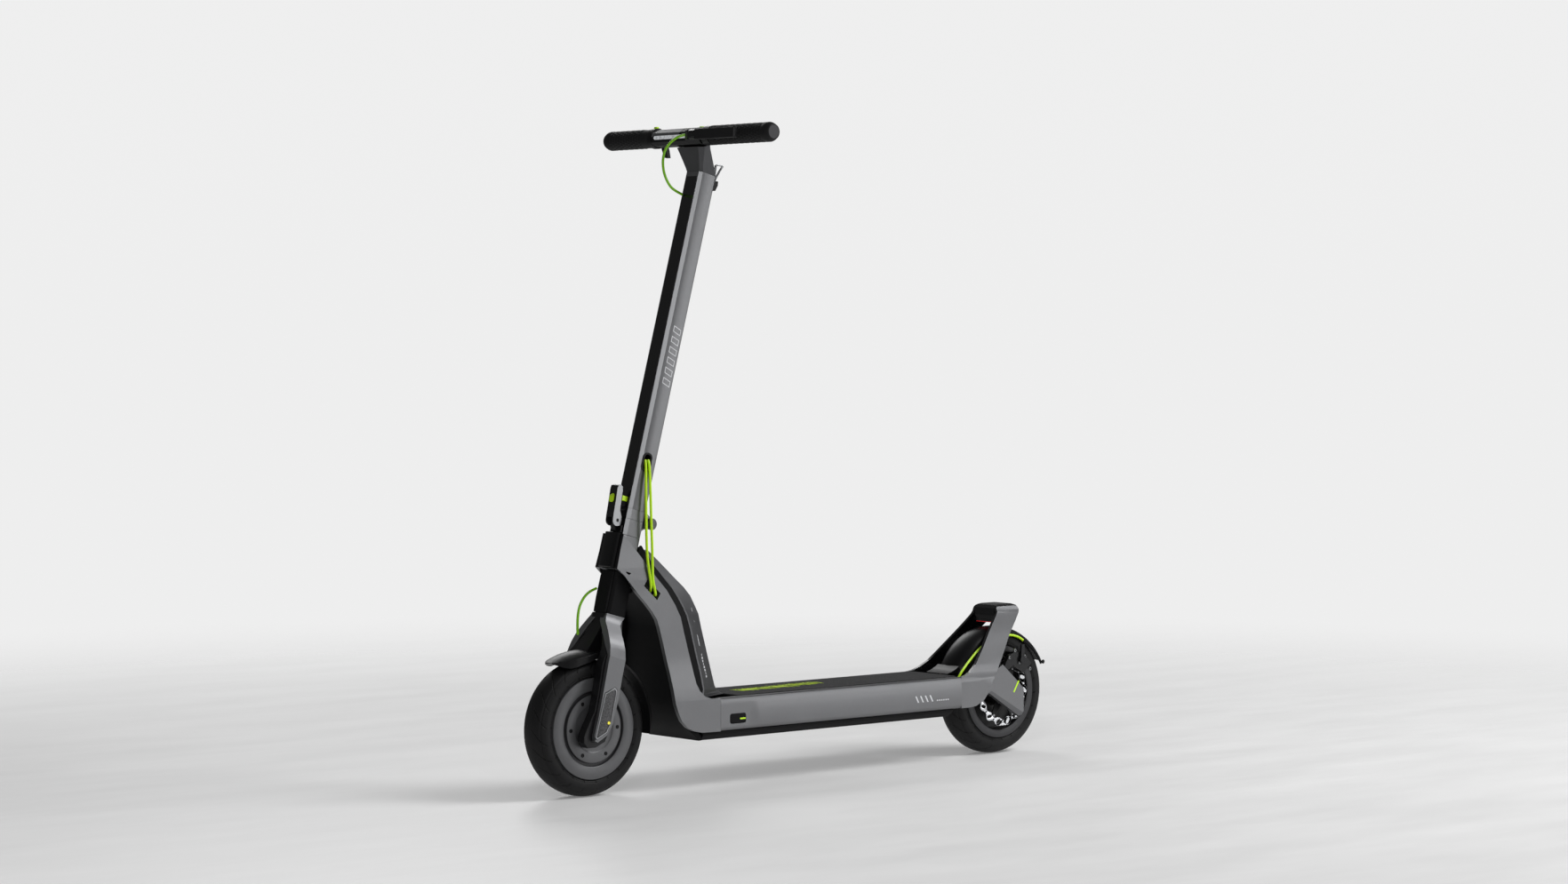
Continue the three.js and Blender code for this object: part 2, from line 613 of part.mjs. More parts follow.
// grey outer shells of the legs: they leave the crown width and step out to the leg width
const legFront = [
  [18.5, 181.7], [22.6, 168], [23.8, 146], [23.8, 126], [23.8, 104], [22, 62], [20.6, 27], [21, -14],
  [18, -21], [12, -22],
];
const legRear = [[-3, -8], [-9.6, 10], [-11, 55], [-9.5, 84], [-9, 112], [-8, 126], [-5.6, 152], [-8.5, 168], [-19, 181.7]];
const legOuterPath = [
  [18.5, 181.7], [19.5, 176], [25, 167], [34, 156], [43, 143], [50, 130], [LEG_OUT, 114], [LEG_OUT, -40],
];
const legOutline = legFront.concat(legRear);
function legSlab(inner, outer) {
  const points = inner.concat(outer.slice().reverse());
  return plateX(points, -60, 80);
}
const shellInner = [[4, 181.7], [8, 170], [18, 157], [27, 144], [35, 132], [LEG_MID + 0.3, 116], [LEG_MID + 0.3, -40]];
let legShell = plateY(legOutline, 0, 70).intersect(legSlab(shellInner, legOuterPath));
const insertOutline = [[18.4, 56], [1, 68.5], [-5.4, 64.5], [-7, 12], [-1.6, -4.5], [15.5, -19], [19.6, -16]];
const insertPocket = plateY(insertOutline, 53.4, 60);
legShell = legShell.subtract(insertPocket);
part("fork_shell_left", steered(legShell), "graphite");
part("fork_shell_right", steered(mirrored(legShell)), "graphite");

// black inner legs carrying the axle
const coreFront = [[20, 150], [24, 128], [28.6, 100], [27, 78], [25, 52], [24.4, 24], [31, 0], [35, -18], [33, -27]];
const coreRear = [[24, -34], [8, -30], [-8, -18], [-12, 0], [-11, 55], [-9.5, 84], [-9, 112], [-8, 126], [-5.6, 150]];
const coreInner = [[14, 150], [20, 143], [25, 135], [LEG_IN, 124], [LEG_IN, -40]];
const coreOuter = [[22.4, 150], [27, 143.6], [34.6, 131.8], [LEG_MID, 116], [LEG_MID, -40]];
const axleLocal = fromWorld(FRONT_X, AXLE_Z);
let legCore = plateY(coreFront.concat(coreRear), 0, 70).intersect(legSlab(coreInner, coreOuter));
legCore = legCore.subtract(rodY(6.5, 20, 44, axleLocal[0], axleLocal[1], 24));
const axleRoom = rodY(6.5, 20, 52.4, axleLocal[0], axleLocal[1], 24);
legCore = legCore.subtract(axleRoom);
part("fork_leg_left", steered(legCore), "satin_black");
part("fork_leg_right", steered(mirrored(legCore)), "satin_black");

// front mudguard with its raised hood and the fascia foot above it
const guardOuter = arcPoints(FRONT_X, AXLE_Z, 116.4, 188, 100, 22);
const guardInner = arcPoints(FRONT_X, AXLE_Z, 112.4, 86, 188, 24);
const hoodLine = [
  [438, 228], [450, 230.4], [464, 231.2], [478, 230], [491, 227.2], [502, 223.6], [512, 219.4], [522, 214.6],
];
const hoodUnder = [[520, 212.8], [508, 211.6], [496, 212.4], [480, 217.6]];
let guard = plateY([...guardOuter, ...hoodLine, ...hoodUnder, ...guardInner], -28.4, 28.4);
const guardPlan = plateZ([
  [522.4, -6], [522.4, 6], [518, 14], [511, 20], [500, 25.4], [484, 28.6], [300, 28.6], [300, -28.6], [484, -28.6],
  [500, -25.4], [511, -20], [518, -14],
], 60, 260);
guard = guard.intersect(guardPlan);
const footSide = [
  [17.6, 181.4], [20.5, 181.4], [21.5, 165], [26.5, 148], [33, 132], [40, 117], [34, 108], [10, 112], [-2, 122],
  [-2, 140], [14, 150],
];
let fasciaFoot = plateY(footSide, -14.5, 14.5);
fasciaFoot = fasciaFoot.subtract(plateX([[14.6, 100], [14.6, 140], [9, 160], [9, 190], [40, 190], [40, 100]], -80, 17));
fasciaFoot = steered(fasciaFoot);
const tyreRoom = turnY([[0, -40], [112.6, -40], [112.6, 40], [0, 40]], FRONT_X, AXLE_Z, 64);
guard = guard.add(fasciaFoot.subtract(tyreRoom));
const shellsRoom = steered(plateY(legOutline, 0, 70).intersect(legSlab(
  shellInner.map((p) => [p[0] - 0.4, p[1]]), legOuterPath)));
guard = guard.subtract(shellsRoom).subtract(mirrored(shellsRoom));
const coreRoom = steered(plateY(coreFront.concat(coreRear), 0, 70).intersect(legSlab(
  coreInner.map((p) => [p[0] - 0.4, p[1]]), coreOuter)));
guard = guard.subtract(coreRoom).subtract(mirrored(coreRoom));
part("front_mudguard", guard, "satin_black");

// fold latch
const bracketSide = [[17, 312], [25, 312], [31, 322], [32.2, LATCH_S], [30, 333.5], [24, 335.4], [17, 335.4]];
let bracket = plateY(bracketSide, -5.4, 5.4);
bracket = bracket.add(plateY([[17, 312], [22, 312], [22, 322], [17, 325]], -13, 13));
bracket = bracket.add(rodY(2.5, -9, 9, LATCH_F, LATCH_S, 20));
part("fork_column", steered(column.add(bracket)), "graphite");
const leverWorld = [
  [380.6, 480], [380.8, 486.5], [384, 489.8], [388.6, 488.8], [391, 484], [396.6, 455], [399.4, 442], [400.7, 433.4],
  [400.2, 430], [398.6, 427.4], [395.6, 424.9], [391.6, 424], [387.6, 424.7], [384, 427.8], [382.2, 433], [383, 438],
  [386, 449], [385.4, 454],
];
const leverLocal = leverWorld.map((p) => fromWorld(p[0], p[1]));
let lever = plateY(leverLocal, -9.2, 9.2);
lever = lever.add(rodY(8.6, -9.2, 9.2, LATCH_F, LATCH_S, 24));
const leverSlot = [[370, 420], [405, 420], [405, 438], [396.4, 439.5], [397, 447], [370, 452]];
lever = lever.subtract(plateY(leverSlot.map((p) => fromWorld(p[0], p[1])), -5.9, 5.9));
lever = lever.subtract(rodY(2.8, -20, 20, LATCH_F, LATCH_S, 20));
part("latch_lever", steered(lever), "satin_black");
const buttonSide = [[395.55, 462], [398.2, 463], [396.6, 472], [392.85, 476]];
const buttonFront = plateX(cutRect(-4.6, 4.6, 461.5, 476.5, 3), 385, 405);
part("latch_button", plateY(buttonSide, -5, 5).intersect(buttonFront), "neon");
const tab = plateY([[18.3, 362], [27.6, 362], [28.4, 364], [28.4, 370], [18.3, 370]], 2, 9);
part("latch_tab", steered(tab), "neon");

// fold hinge pin with its end knob
let pin = rodY(3, -22, 22, FOLD_F, FOLD_S, 24);
pin = pin.add(rodY(9.4, 21, 25.5, FOLD_F, FOLD_S, 32)).add(rodY(7, -24, -20.6, FOLD_F, FOLD_S, 24));
part("fold_pin", steered(pin), "steel");

// ==== stem (folds) ====
let stemFoot = plateZ(cutRect(-18, 18, -20, 20, 5), SEAM_LOW + 0.1, SEAM_HIGH - 0.1);
const stemLugSide = [[-17, 338], [-24, 331], [-29, 328.2], [-36, 331], [-38, FOLD_S], [-35, 343], [-17, 352.3]];
let stemLugs = plateY(stemLugSide, 8.5, 19.6).add(plateY(stemLugSide, -19.6, -8.5));
stemLugs = stemLugs.subtract(block(-18.3, 0, -30, 30, 320, SEAM_LOW + 0.1));
stemFoot = stemFoot.add(stemLugs).subtract(rodY(3.3, -30, 30, FOLD_F, FOLD_S, 24));
stemFoot = stemFoot.subtract(block(-19, -16, -8.5, 8.5, 330, 346));
const catchBody = plateY([[17, 338], [20.6, 338], [21.4, 347], [17, 351]], -10, 10);
part("stem_foot", steered(stemFoot.add(catchBody)), "graphite");

let stem = plateZ(cutRect(-18, 18, -20, 20, 5), SEAM_HIGH + 0.1, STEM_TOP);
stem = stem.subtract(plateZ(cutRect(-15, 12.6, -17, 17, 3), SEAM_HIGH - 5, STEM_TOP + 5));
stem = stem.subtract(block(16, 20, -14, 14, SEAM_HIGH - 5, STEM_TOP - 8));
stem = stem.subtract(plateY(roundRect(-3.4, 12.2, 416, 444, 6.8), 10, 30));
let strip = block(16.3, 18, -13.7, 13.7, SEAM_HIGH + 1, STEM_TOP - 8.4);
part("stem_strip", steered(strip), "gloss_black");

function neckRing(s, f0, f1, half, c) {
  return cutRect(f0, f1, -half, half, c).map((p) => [p[0], p[1], s]);
}
let barClear = moved(rodY(17.2, -60, 60, 0, 0, 32), BAR_F, 0, BAR_S);
let stemNeck = loft([
  neckRing(STEM_TOP + GAP, -17.6, 17.2, 19.7, 4), neckRing(916, -12.6, 21.4, 21.8, 4.4),
  neckRing(926, -4.4, 27.6, 26, 5.4), neckRing(937, 5.2, 34.8, 31, 7), neckRing(947, 14.4, 41.6, 35.8, 8.4),
  neckRing(960, 22, 48, 39.4, 9),
]);
stemNeck = steered(stemNeck.subtract(barClear));

// handlebar, grips, centre housing
part("handlebar", steered(ringY(8.4, BAR_R, -203, 203, BAR_F, BAR_S, 32)), "steel");
const gripProfile = [
  [11.3, 63], [15.2, 63], [15.8, 66], [15.8, 190], [15.6, 196], [14, 202], [10, 206], [0, GRIP_END], [0, 203.4],
  [11.3, 203.4], [11.3, 63],
];
part("grip_left", steered(turnY(gripProfile, BAR_F, BAR_S, 28)), "rubber");
const gripRight = gripProfile.map((p) => [p[0] * 1, p[1] < 70 ? -p[1] - 25 : -p[1]]);
part("grip_right", steered(turnY(gripRight, BAR_F, BAR_S, 28)), "rubber");

// housing profile in world X and Z around the bar, faceted on top
const [barX, barZ] = toWorld(BAR_F, BAR_S);
const housingSide = [
  [barX - 17, barZ - 6], [barX - 15, barZ + 6], [barX - 8, barZ + 13.6], [barX + 6, barZ + 13.6],
  [barX + 15, barZ + 7.4], [barX + 17, barZ + 2], [barX + 17, barZ - 7], [barX + 12, barZ - 13],
  [barX - 8, barZ - 15], [barX - 15, barZ - 12],
];
const housingRoom = housingSide.map((p) => [barX + (p[0] - barX) * 1.04, barZ + (p[1] - barZ) * 1.04]);
part("stem_neck", stemNeck.subtract(plateY(housingRoom, -60, 60)), "gloss_black");
let housing = plateY(housingSide, -76, 44);
housing = housing.subtract(rodY(11.3, -90, 90, barX, barZ, 32));
housing = housing.intersect(plateX([[-76, barZ - 20], [-76, barZ + 8], [-66, barZ + 14], [44, barZ + 14],
  [44, barZ - 20]], barX - 40, barX + 40));
const lensPocket = plateX(cutRect(-70, 20, barZ - 3.4, barZ + 3.4, 3), barX + 15.6, barX + 25);
const screenPocket = plateY([
  [barX - 20, barZ + 2], [barX - 13.6, barZ + 4.6], [barX - 7.6, barZ + 11.4], [barX - 14, barZ + 18],
], -28, 28);
housing = housing.subtract(lensPocket).subtract(screenPocket);
housing = housing.add(rodZ(5.6, barZ + 12, barZ + 15, barX, 34, 24));
part("bar_housing", housing, "satin_black");
const lens = plateX(cutRect(-69.6, 19.6, barZ - 3, barZ + 3, 2.7), barX + 15.9, barX + 17.6);
part("headlight_lens", lens, "clear_lens");
const screen = plateY([
  [barX - 15.3, barZ + 5.2], [barX - 13.8, barZ + 4.95], [barX - 7.9, barZ + 11.6], [barX - 9, barZ + 12.6],
], -27.6, 27.6);
part("display_screen", screen, "gloss_black");

// brake perch and lever on the left
const perchRing = ringY(11.3, 15.8, 44.4, 61, barX, barZ, 32);
let perch = perchRing.add(plateY([
  [barX + 12.4, barZ - 7], [barX + 38, barZ - 8.4], [barX + 42, barZ - 4], [barX + 42, barZ + 6], [barX + 36, barZ + 9],
  [barX + 12.4, barZ + 8],
], 46, 60));
const pivotX = barX + 33;
const pivotY = 50;
perch = perch.subtract(block(barX + 24, barX + 50, 40, 70, barZ - 4.4, barZ + 4.6));
perch = perch.add(rodZ(2.1, barZ - 8, barZ + 8, pivotX, pivotY, 20));
part("brake_perch", perch, "satin_black");
const leverPlan = [
  [pivotX - 6, pivotY - 16], [pivotX + 4, pivotY - 17], [pivotX + 8, pivotY - 6], [pivotX + 9, pivotY + 10],
  [pivotX + 8, pivotY + 60], [pivotX + 9, pivotY + 106], [pivotX + 6, pivotY + 109], [pivotX + 2, pivotY + 108],
  [pivotX + 1, pivotY + 104], [pivotX + 0, pivotY + 60], [pivotX - 1, pivotY + 16], [pivotX - 6, pivotY + 8],
];
let blade = plateZ(leverPlan, barZ - 8, barZ + 8.4);
blade = blade.subtract(block(barX + 10, barX + 43.4, 44, 61.6, barZ + 4.3, barZ + 20));
blade = blade.subtract(block(barX + 10, barX + 43.4, 44, 61.6, barZ - 20, barZ - 4.1));
blade = blade.subtract(rodZ(2.4, barZ - 20, barZ + 20, pivotX, pivotY, 20));
part("brake_lever", blade, "satin_black");

// thumb throttle on the right
let throttle = ringY(11.4, 16.8, -86.4, -78, barX, barZ, 32);
throttle = throttle.add(plateY([
  [barX - 13, barZ - 4], [barX - 12, barZ - 12], [barX - 19, barZ - 30], [barX - 25, barZ - 31],
  [barX - 23, barZ - 20], [barX - 18, barZ - 4],
], -86.4, -76.6));
throttle = throttle.add(plateY([
  [barX - 3, barZ + 14], [barX + 3, barZ + 14], [barX + 2, barZ + 19], [barX - 2, barZ + 19]], -86, -79));
part("throttle_paddle", throttle, "neon");

// fold hook on the back of the stem
let hookBase = plateY([[-17, 888], [-30, 890], [-33, 900], [-32, 906], [-24, 908], [-17, 908]], -7, 7);
hookBase = hookBase.subtract(plateY([[-24.8, 901.5], [-40, 901.5], [-40, 920], [-24.8, 920]], -3.2, 3.2));
hookBase = hookBase.subtract(rodY(1.9, -20, 20, -28.4, 905.5, 16));
part("stem_tube", steered(stem.add(hookBase)), "graphite");
let hook = plateY([[-26.6, 903], [-30.6, 903], [-41, 932], [-40, 935.4], [-26, 933], [-25.6, 929.6], [-34.8, 931]], -2.6, 2.6);
hook = hook.add(rodY(3, -2.6, 2.6, -28.4, 905.5, 20)).subtract(rodY(1.6, -20, 20, -28.4, 905.5, 16));
part("stem_hook", steered(hook), "silver");

// ==== cables ====
const cableR = 2.1;
part("bar_cable", cord([
  [263, 31, 1047.2], [276, 20, 1042.5], [284, 8, 1032], [286, -2, 1019], [284.5, -8, 1001], [277.5, -11, 981],
  [263.5, -12, 963], [241.6, -12, 952.5],
], cableR, 28), "neon");

const strandA = [
  [342.4, 18.4, 528], [344.4, 22.5, 516], [347, 26, 490], [349, 28.8, 450], [349, 29.6, 412],
  [347.7, 30.2, 377], [345.8, 31.8, 355], [344.2, 33.2, 341], [343.4, 34.4, 329], [341, 30, 321],
  [339, 25, 317],
];
const strandB = [
  [336.4, 18.4, 528], [337, 22.5, 516], [337.6, 25.6, 480], [337.4, 27.6, 432], [336.8, 29.2, 390],
  [338, 31.6, 357], [338.6, 33.8, 338], [337, 36.4, 321], [334.4, 34.6, 314], [333, 29, 312.4],
];
part("strand_front", cord(strandA, cableR, 32), "neon");
part("strand_back", cord(strandB, cableR, 32), "neon");

part("motor_cable", cord([
  [417, -12, 325.6], [430, -12, 321], [441, -12, 313], [450, -12, 300], [454, -12, 285], [455, -12, 268],
  [454.6, -12, 254],
], cableR, 22), "neon");

part("rear_cable", cord([
  [-322, 50, 141], [-331, 49, 151], [-352, 44, 166], [-385, 37, 186], [-420, 34, 200], [-455, 34.2, 206],
  [-475, 38, 203], [-486, 42.5, 196],
], cableR, 26), "neon");

export default scene;
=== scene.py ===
"""Electric kick scooter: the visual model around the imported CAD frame.

Metres in the row frame, +X forward, +Y to the rider's left, +Z up. Helper coordinates are millimetres.
"""

import json
import math
import random

import bmesh
import bpy
from mathutils import Matrix, Vector
from mathutils.bvhtree import BVHTree


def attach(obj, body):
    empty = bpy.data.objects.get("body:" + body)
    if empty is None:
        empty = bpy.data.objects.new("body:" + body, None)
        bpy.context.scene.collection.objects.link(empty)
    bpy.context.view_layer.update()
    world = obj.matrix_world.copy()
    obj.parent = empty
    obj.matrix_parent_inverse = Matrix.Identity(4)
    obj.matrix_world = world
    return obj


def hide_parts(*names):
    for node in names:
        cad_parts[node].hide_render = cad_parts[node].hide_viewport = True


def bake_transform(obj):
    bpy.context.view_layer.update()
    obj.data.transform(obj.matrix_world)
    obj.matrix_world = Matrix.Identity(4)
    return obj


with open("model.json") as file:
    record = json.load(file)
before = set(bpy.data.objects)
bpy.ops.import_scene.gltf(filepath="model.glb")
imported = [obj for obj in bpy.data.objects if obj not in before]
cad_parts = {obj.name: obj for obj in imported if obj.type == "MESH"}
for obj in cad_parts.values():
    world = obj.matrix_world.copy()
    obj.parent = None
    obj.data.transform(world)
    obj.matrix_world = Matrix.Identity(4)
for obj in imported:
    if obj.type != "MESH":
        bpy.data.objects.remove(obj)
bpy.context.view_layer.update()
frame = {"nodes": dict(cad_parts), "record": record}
NODES = frame["nodes"]
MM = 0.001

# ---- driving dimensions, millimetres ----
FRONT_X = 452
REAR_X = -447
AXLE_Z = 108
AXIS_X = 449.5
LEAN = math.radians(15.2)
BAR_F, BAR_S = 40, 960
BODY_OF = {node: body for body, group in frame["record"]["behaviour"]["bodies"].items() for node in group}
SLOT_OF = {part["node"]: part["material_slot"] for part in frame["record"]["subparts"]}


def at(x, y, z):
    return Vector((x, y, z)) * MM


def steered(f, y, s):
    """A point of the steering frame: f forward of the steering axis, s along it."""
    return at(
        AXIS_X + f * math.cos(LEAN) - s * math.sin(LEAN), y, AXLE_Z + f * math.sin(LEAN) + s * math.cos(LEAN)
    )


BAR = steered(BAR_F, 0, BAR_S) / MM


# ==== camera, floor and light ====
def make_camera():
    azimuth, elevation, distance = math.radians(41.48), math.radians(1.8), 5.9093
    back = Vector(
        (math.sin(azimuth) * math.cos(elevation), math.cos(azimuth) * math.cos(elevation),
         math.sin(elevation))
    )
    right = (-back).cross(Vector((0, 0, 1))).normalized()
    up = right.cross(-back)
    roll = math.radians(0.1)
    right, up = right * math.cos(roll) + up * math.sin(roll), up * math.cos(roll) - right * math.sin(roll)
    data = bpy.data.cameras.new("camera")
    data.sensor_width = 36
    data.lens = 36 * 4032 / 1764
    data.clip_end = 200
    camera = bpy.data.objects.new("camera", data)
    turn = Matrix((right, up, back)).transposed().to_4x4()
    camera.matrix_world = Matrix.Translation(Vector((0.032, 0, 0.54997)) + back * distance) @ turn
    bpy.context.scene.collection.objects.link(camera)
    bpy.context.scene.camera = camera


def area_light(name, where, aim, size, watts, size_y=None, colour=(1, 1, 1)):
    data = bpy.data.lights.new(name, "AREA")
    data.energy = watts
    data.color = colour
    data.shape = "RECTANGLE"
    data.size = size
    data.size_y = size_y or size
    lamp = bpy.data.objects.new(name, data)
    lamp.location = where
    lamp.rotation_euler = (Vector(aim) - Vector(where)).to_track_quat("-Z", "Y").to_euler()
    bpy.context.scene.collection.objects.link(lamp)


# ==== materials ====
def node(tree, kind, **values):
    made = tree.nodes.new("ShaderNode" + kind)
    for key, value in values.items():
        if isinstance(value, bpy.types.NodeSocket):
            tree.links.new(value, made.inputs[key.replace("_", " ")])
        elif key.replace("_", " ") in made.inputs:
            made.inputs[key.replace("_", " ")].default_value = value
        else:
            setattr(made, key, value)
    return made


def new_material(name, rough, metal):
    made = bpy.data.materials.new(name)
    made.use_nodes = True
    tree = made.node_tree
    shader = tree.nodes["Principled BSDF"]
    shader.inputs["Roughness"].default_value = rough
    shader.inputs["Metallic"].default_value = metal
    return made, tree, shader


def shade(rgb, factor):
    return tuple(min(1, c * factor) for c in rgb) + (1,)


def ramp(tree, value, low, high):
    made = node(tree, "MapRange")
    tree.links.new(value, made.inputs[0])
    made.inputs[3].default_value, made.inputs[4].default_value = low, high
    return made.outputs[0]


def mix(tree, factor, first, second):
    made = tree.nodes.new("ShaderNodeMix")
    made.data_type = "RGBA"
    for value, socket in ((factor, 0), (first, 6), (second, 7)):
        if isinstance(value, bpy.types.NodeSocket):
            tree.links.new(value, made.inputs[socket])
        else:
            made.inputs[socket].default_value = value
    return made.outputs[2]


def finish(name, rgb, rough, metal=0.0, vary=0.12, rough_vary=0.06, patch=14, grain=1500, bump=0.12,
           depth=0.02,
           coat=0.0, stretch=(1, 1, 1), flake=0.0, dust=0.0, specular=0.5):
    """A paint, metal or plastic with cloudy colour, uneven gloss and a fine grain."""
    made, tree, shader = new_material(name, rough, metal)
    place = node(tree, "TexCoord").outputs["Object"]
    cloud = node(tree, "TexNoise", Vector=place, Scale=patch, Detail=4.0, Roughness=0.6)
    colour = mix(tree, ramp(tree, cloud.outputs[0], -0.3, 1.3), shade(rgb, 1 - vary), shade(rgb, 1 + vary))
    if flake:
        cells = node(tree, "TexVoronoi", Vector=place, Scale=2600.0)
        spark = node(tree, "SeparateColor", Color=cells.outputs["Color"]).outputs[0]
        colour = mix(tree, ramp(tree, spark, -flake, flake), colour, shade(rgb, 1.7))
    if dust:
        low = node(tree, "TexNoise", Vector=place, Scale=46.0, Detail=6.0, Roughness=0.75)
        spots = ramp(tree, low.outputs[0], -0.5 * dust, dust)
        colour = mix(tree, spots, colour, (0.16, 0.155, 0.145, 1))
    tree.links.new(colour, shader.inputs["Base Color"])
    spread = node(tree, "Mapping", Vector=place, Scale=stretch)
    fine = node(tree, "TexNoise", Vector=spread.outputs[0], Scale=grain, Detail=2.0)
    uneven = node(tree, "Math", operation="ADD")
    tree.links.new(ramp(tree, fine.outputs[0], -rough_vary, rough_vary), uneven.inputs[0])
    tree.links.new(ramp(tree, cloud.outputs[0], rough - rough_vary, rough + rough_vary), uneven.inputs[1])
    tree.links.new(uneven.outputs[0], shader.inputs["Roughness"])
    relief = node(tree, "Bump", Height=fine.outputs[0], Strength=bump, Distance=depth * MM)
    tree.links.new(relief.outputs[0], shader.inputs["Normal"])
    shader.inputs["Specular IOR Level"].default_value = specular
    if coat:
        shader.inputs["Coat Weight"].default_value = coat
        shader.inputs["Coat Roughness"].default_value = 0.12
    return made


def grip_tape():
    made, tree, shader = new_material("grip_tape", 0.9, 0)
    place = node(tree, "TexCoord").outputs["Object"]
    cells = node(tree, "TexVoronoi", Vector=place, Scale=900.0)
    cloud = node(tree, "TexNoise", Vector=place, Scale=22.0, Detail=5.0)
    base = mix(tree, ramp(tree, cloud.outputs[0], 0, 1), (0.008, 0.008, 0.009, 1), (0.02, 0.02, 0.021, 1))
    sparkle = node(tree, "SeparateColor", Color=cells.outputs["Color"]).outputs[1]
    spots = node(tree, "Math", operation="GREATER_THAN")
    tree.links.new(sparkle, spots.inputs[0])
    spots.inputs[1].default_value = 0.93
    tree.links.new(mix(tree, spots.outputs[0], base, (0.07, 0.07, 0.072, 1)), shader.inputs["Base Color"])
    relief = node(tree, "Bump", Height=cells.outputs["Distance"], Strength=0.6, Distance=0.0004)
    tree.links.new(relief.outputs[0], shader.inputs["Normal"])
    return made


def crackle():
    """Black moulded plastic with a coarse broken texture."""
    made, tree, shader = new_material("crackle_black", 0.5, 0)
    place = node(tree, "TexCoord").outputs["Object"]
    cells = node(tree, "TexVoronoi", Vector=place, Scale=520.0)
    cloud = node(tree, "TexNoise", Vector=place, Scale=800.0, Detail=4.0)
    colour = mix(tree, ramp(tree, cells.outputs["Distance"], -0.2, 1.4), (0.016, 0.016, 0.017, 1),
                 (0.09, 0.09, 0.095, 1))
    tree.links.new(colour, shader.inputs["Base Color"])
    tree.links.new(ramp(tree, cloud.outputs[0], 0.35, 0.7), shader.inputs["Roughness"])
    relief = node(tree, "Bump", Height=cells.outputs["Distance"], Strength=0.8, Distance=0.0006)
    tree.links.new(relief.outputs[0], shader.inputs["Normal"])
    return made


def tyre_rubber(name, x):
    """Worn rubber with curved diagonal sipes, drawn as bump and as a darker line of painted shade in each
    groove, and not cut into the mesh.
    """
    made = finish(name, (0.008, 0.008, 0.0085), 0.58, 0.0, grain=900, bump=0.2, depth=0.05, dust=0.03,
                  vary=0.2,
                  specular=0.22)
    tree = made.node_tree
    shader = tree.nodes["Principled BSDF"]

    def sums(operation, first, second=0.0, third=0.0):
        step = node(tree, "Math", operation=operation)
        for value, socket in ((first, 0), (second, 1), (third, 2)):
            if isinstance(value, bpy.types.NodeSocket):
                tree.links.new(value, step.inputs[socket])
            else:
                step.inputs[socket].default_value = value
        return step.outputs[0]

    off = node(tree, "VectorMath", operation="SUBTRACT")
    tree.links.new(node(tree, "TexCoord").outputs["Object"], off.inputs[0])
    off.inputs[1].default_value = (x * MM, 0, AXLE_Z * MM)
    parts = node(tree, "SeparateXYZ", Vector=off.outputs[0])
    turn = sums("ARCTAN2", parts.outputs["Z"], parts.outputs["X"])
    wide = sums("ABSOLUTE", parts.outputs["Y"])
    side = sums("SIGN", parts.outputs["Y"])
    bend = sums("MULTIPLY", sums("POWER", sums("DIVIDE", wide, TREAD_HALF_WIDTH), 1.6), 0.26)
    count = sums("MULTIPLY", sums("ADD", sums("MULTIPLY", turn, side), bend), SIPES / (2 * math.pi))
    share = sums("FRACT", sums("MULTIPLY_ADD", side, 0.25, count))
    near = sums("ABSOLUTE", sums("SUBTRACT", share, 0.5))
    line = node(tree, "MapRange")
    line.inputs[1].default_value, line.inputs[2].default_value = 0.022, 0.05
    tree.links.new(near, line.inputs[0])
    centre = node(tree, "MapRange")
    centre.inputs[1].default_value, centre.inputs[2].default_value = 0.0035, 0.006
    centre.inputs[3].default_value, centre.inputs[4].default_value = 1.0, 0.0
    tree.links.new(wide, centre.inputs[0])
    shoulder = node(tree, "MapRange")
    shoulder.inputs[1].default_value, shoulder.inputs[2].default_value = 0.0245, 0.0255
    tree.links.new(wide, shoulder.inputs[0])
    height = sums("MAXIMUM", sums("MAXIMUM", line.outputs[0], centre.outputs[0]), shoulder.outputs[0])
    before = shader.inputs["Normal"].links[0].from_socket
    cut = node(tree, "Bump", Height=height, Strength=1.0, Distance=SIPE_DEPTH, Normal=before)
    tree.links.new(cut.outputs[0], shader.inputs["Normal"])
    plain = shader.inputs["Base Color"].links[0].from_socket
    # Darker colour inside the sipe lines: painted shade in the grooves.
    tree.links.new(mix(tree, height, (0.002, 0.002, 0.002, 1), plain), shader.inputs["Base Color"])
    return made


def brushed_disc(name, centre, rgb, rough):
    """Metal ground in circles about the rear axle."""
    made, tree, shader = new_material(name, rough, 1.0)
    place = node(tree, "TexCoord").outputs["Object"]
    off = node(tree, "VectorMath", operation="SUBTRACT")
    tree.links.new(place, off.inputs[0])
    off.inputs[1].default_value = centre
    parts = node(tree, "SeparateXYZ", Vector=off.outputs[0])
    flat = node(tree, "CombineXYZ", X=parts.outputs["X"], Y=parts.outputs["Z"])
    radius = node(tree, "VectorMath", operation="LENGTH")
    tree.links.new(flat.outputs[0], radius.inputs[0])
    lines = node(tree, "TexNoise", noise_dimensions="1D", Scale=2400.0, Detail=3.0)
    tree.links.new(radius.outputs["Value"], lines.inputs["W"])
    cloud = node(tree, "TexNoise", Vector=place, Scale=60.0, Detail=3.0)
    tree.links.new(mix(tree, lines.outputs[0], shade(rgb, 0.8), shade(rgb, 1.15)),
                   shader.inputs["Base Color"])
    tree.links.new(ramp(tree, cloud.outputs[0], rough - 0.1, rough + 0.12), shader.inputs["Roughness"])
    relief = node(tree, "Bump", Height=lines.outputs[0], Strength=0.15, Distance=0.00005)
    tree.links.new(relief.outputs[0], shader.inputs["Normal"])
    return made


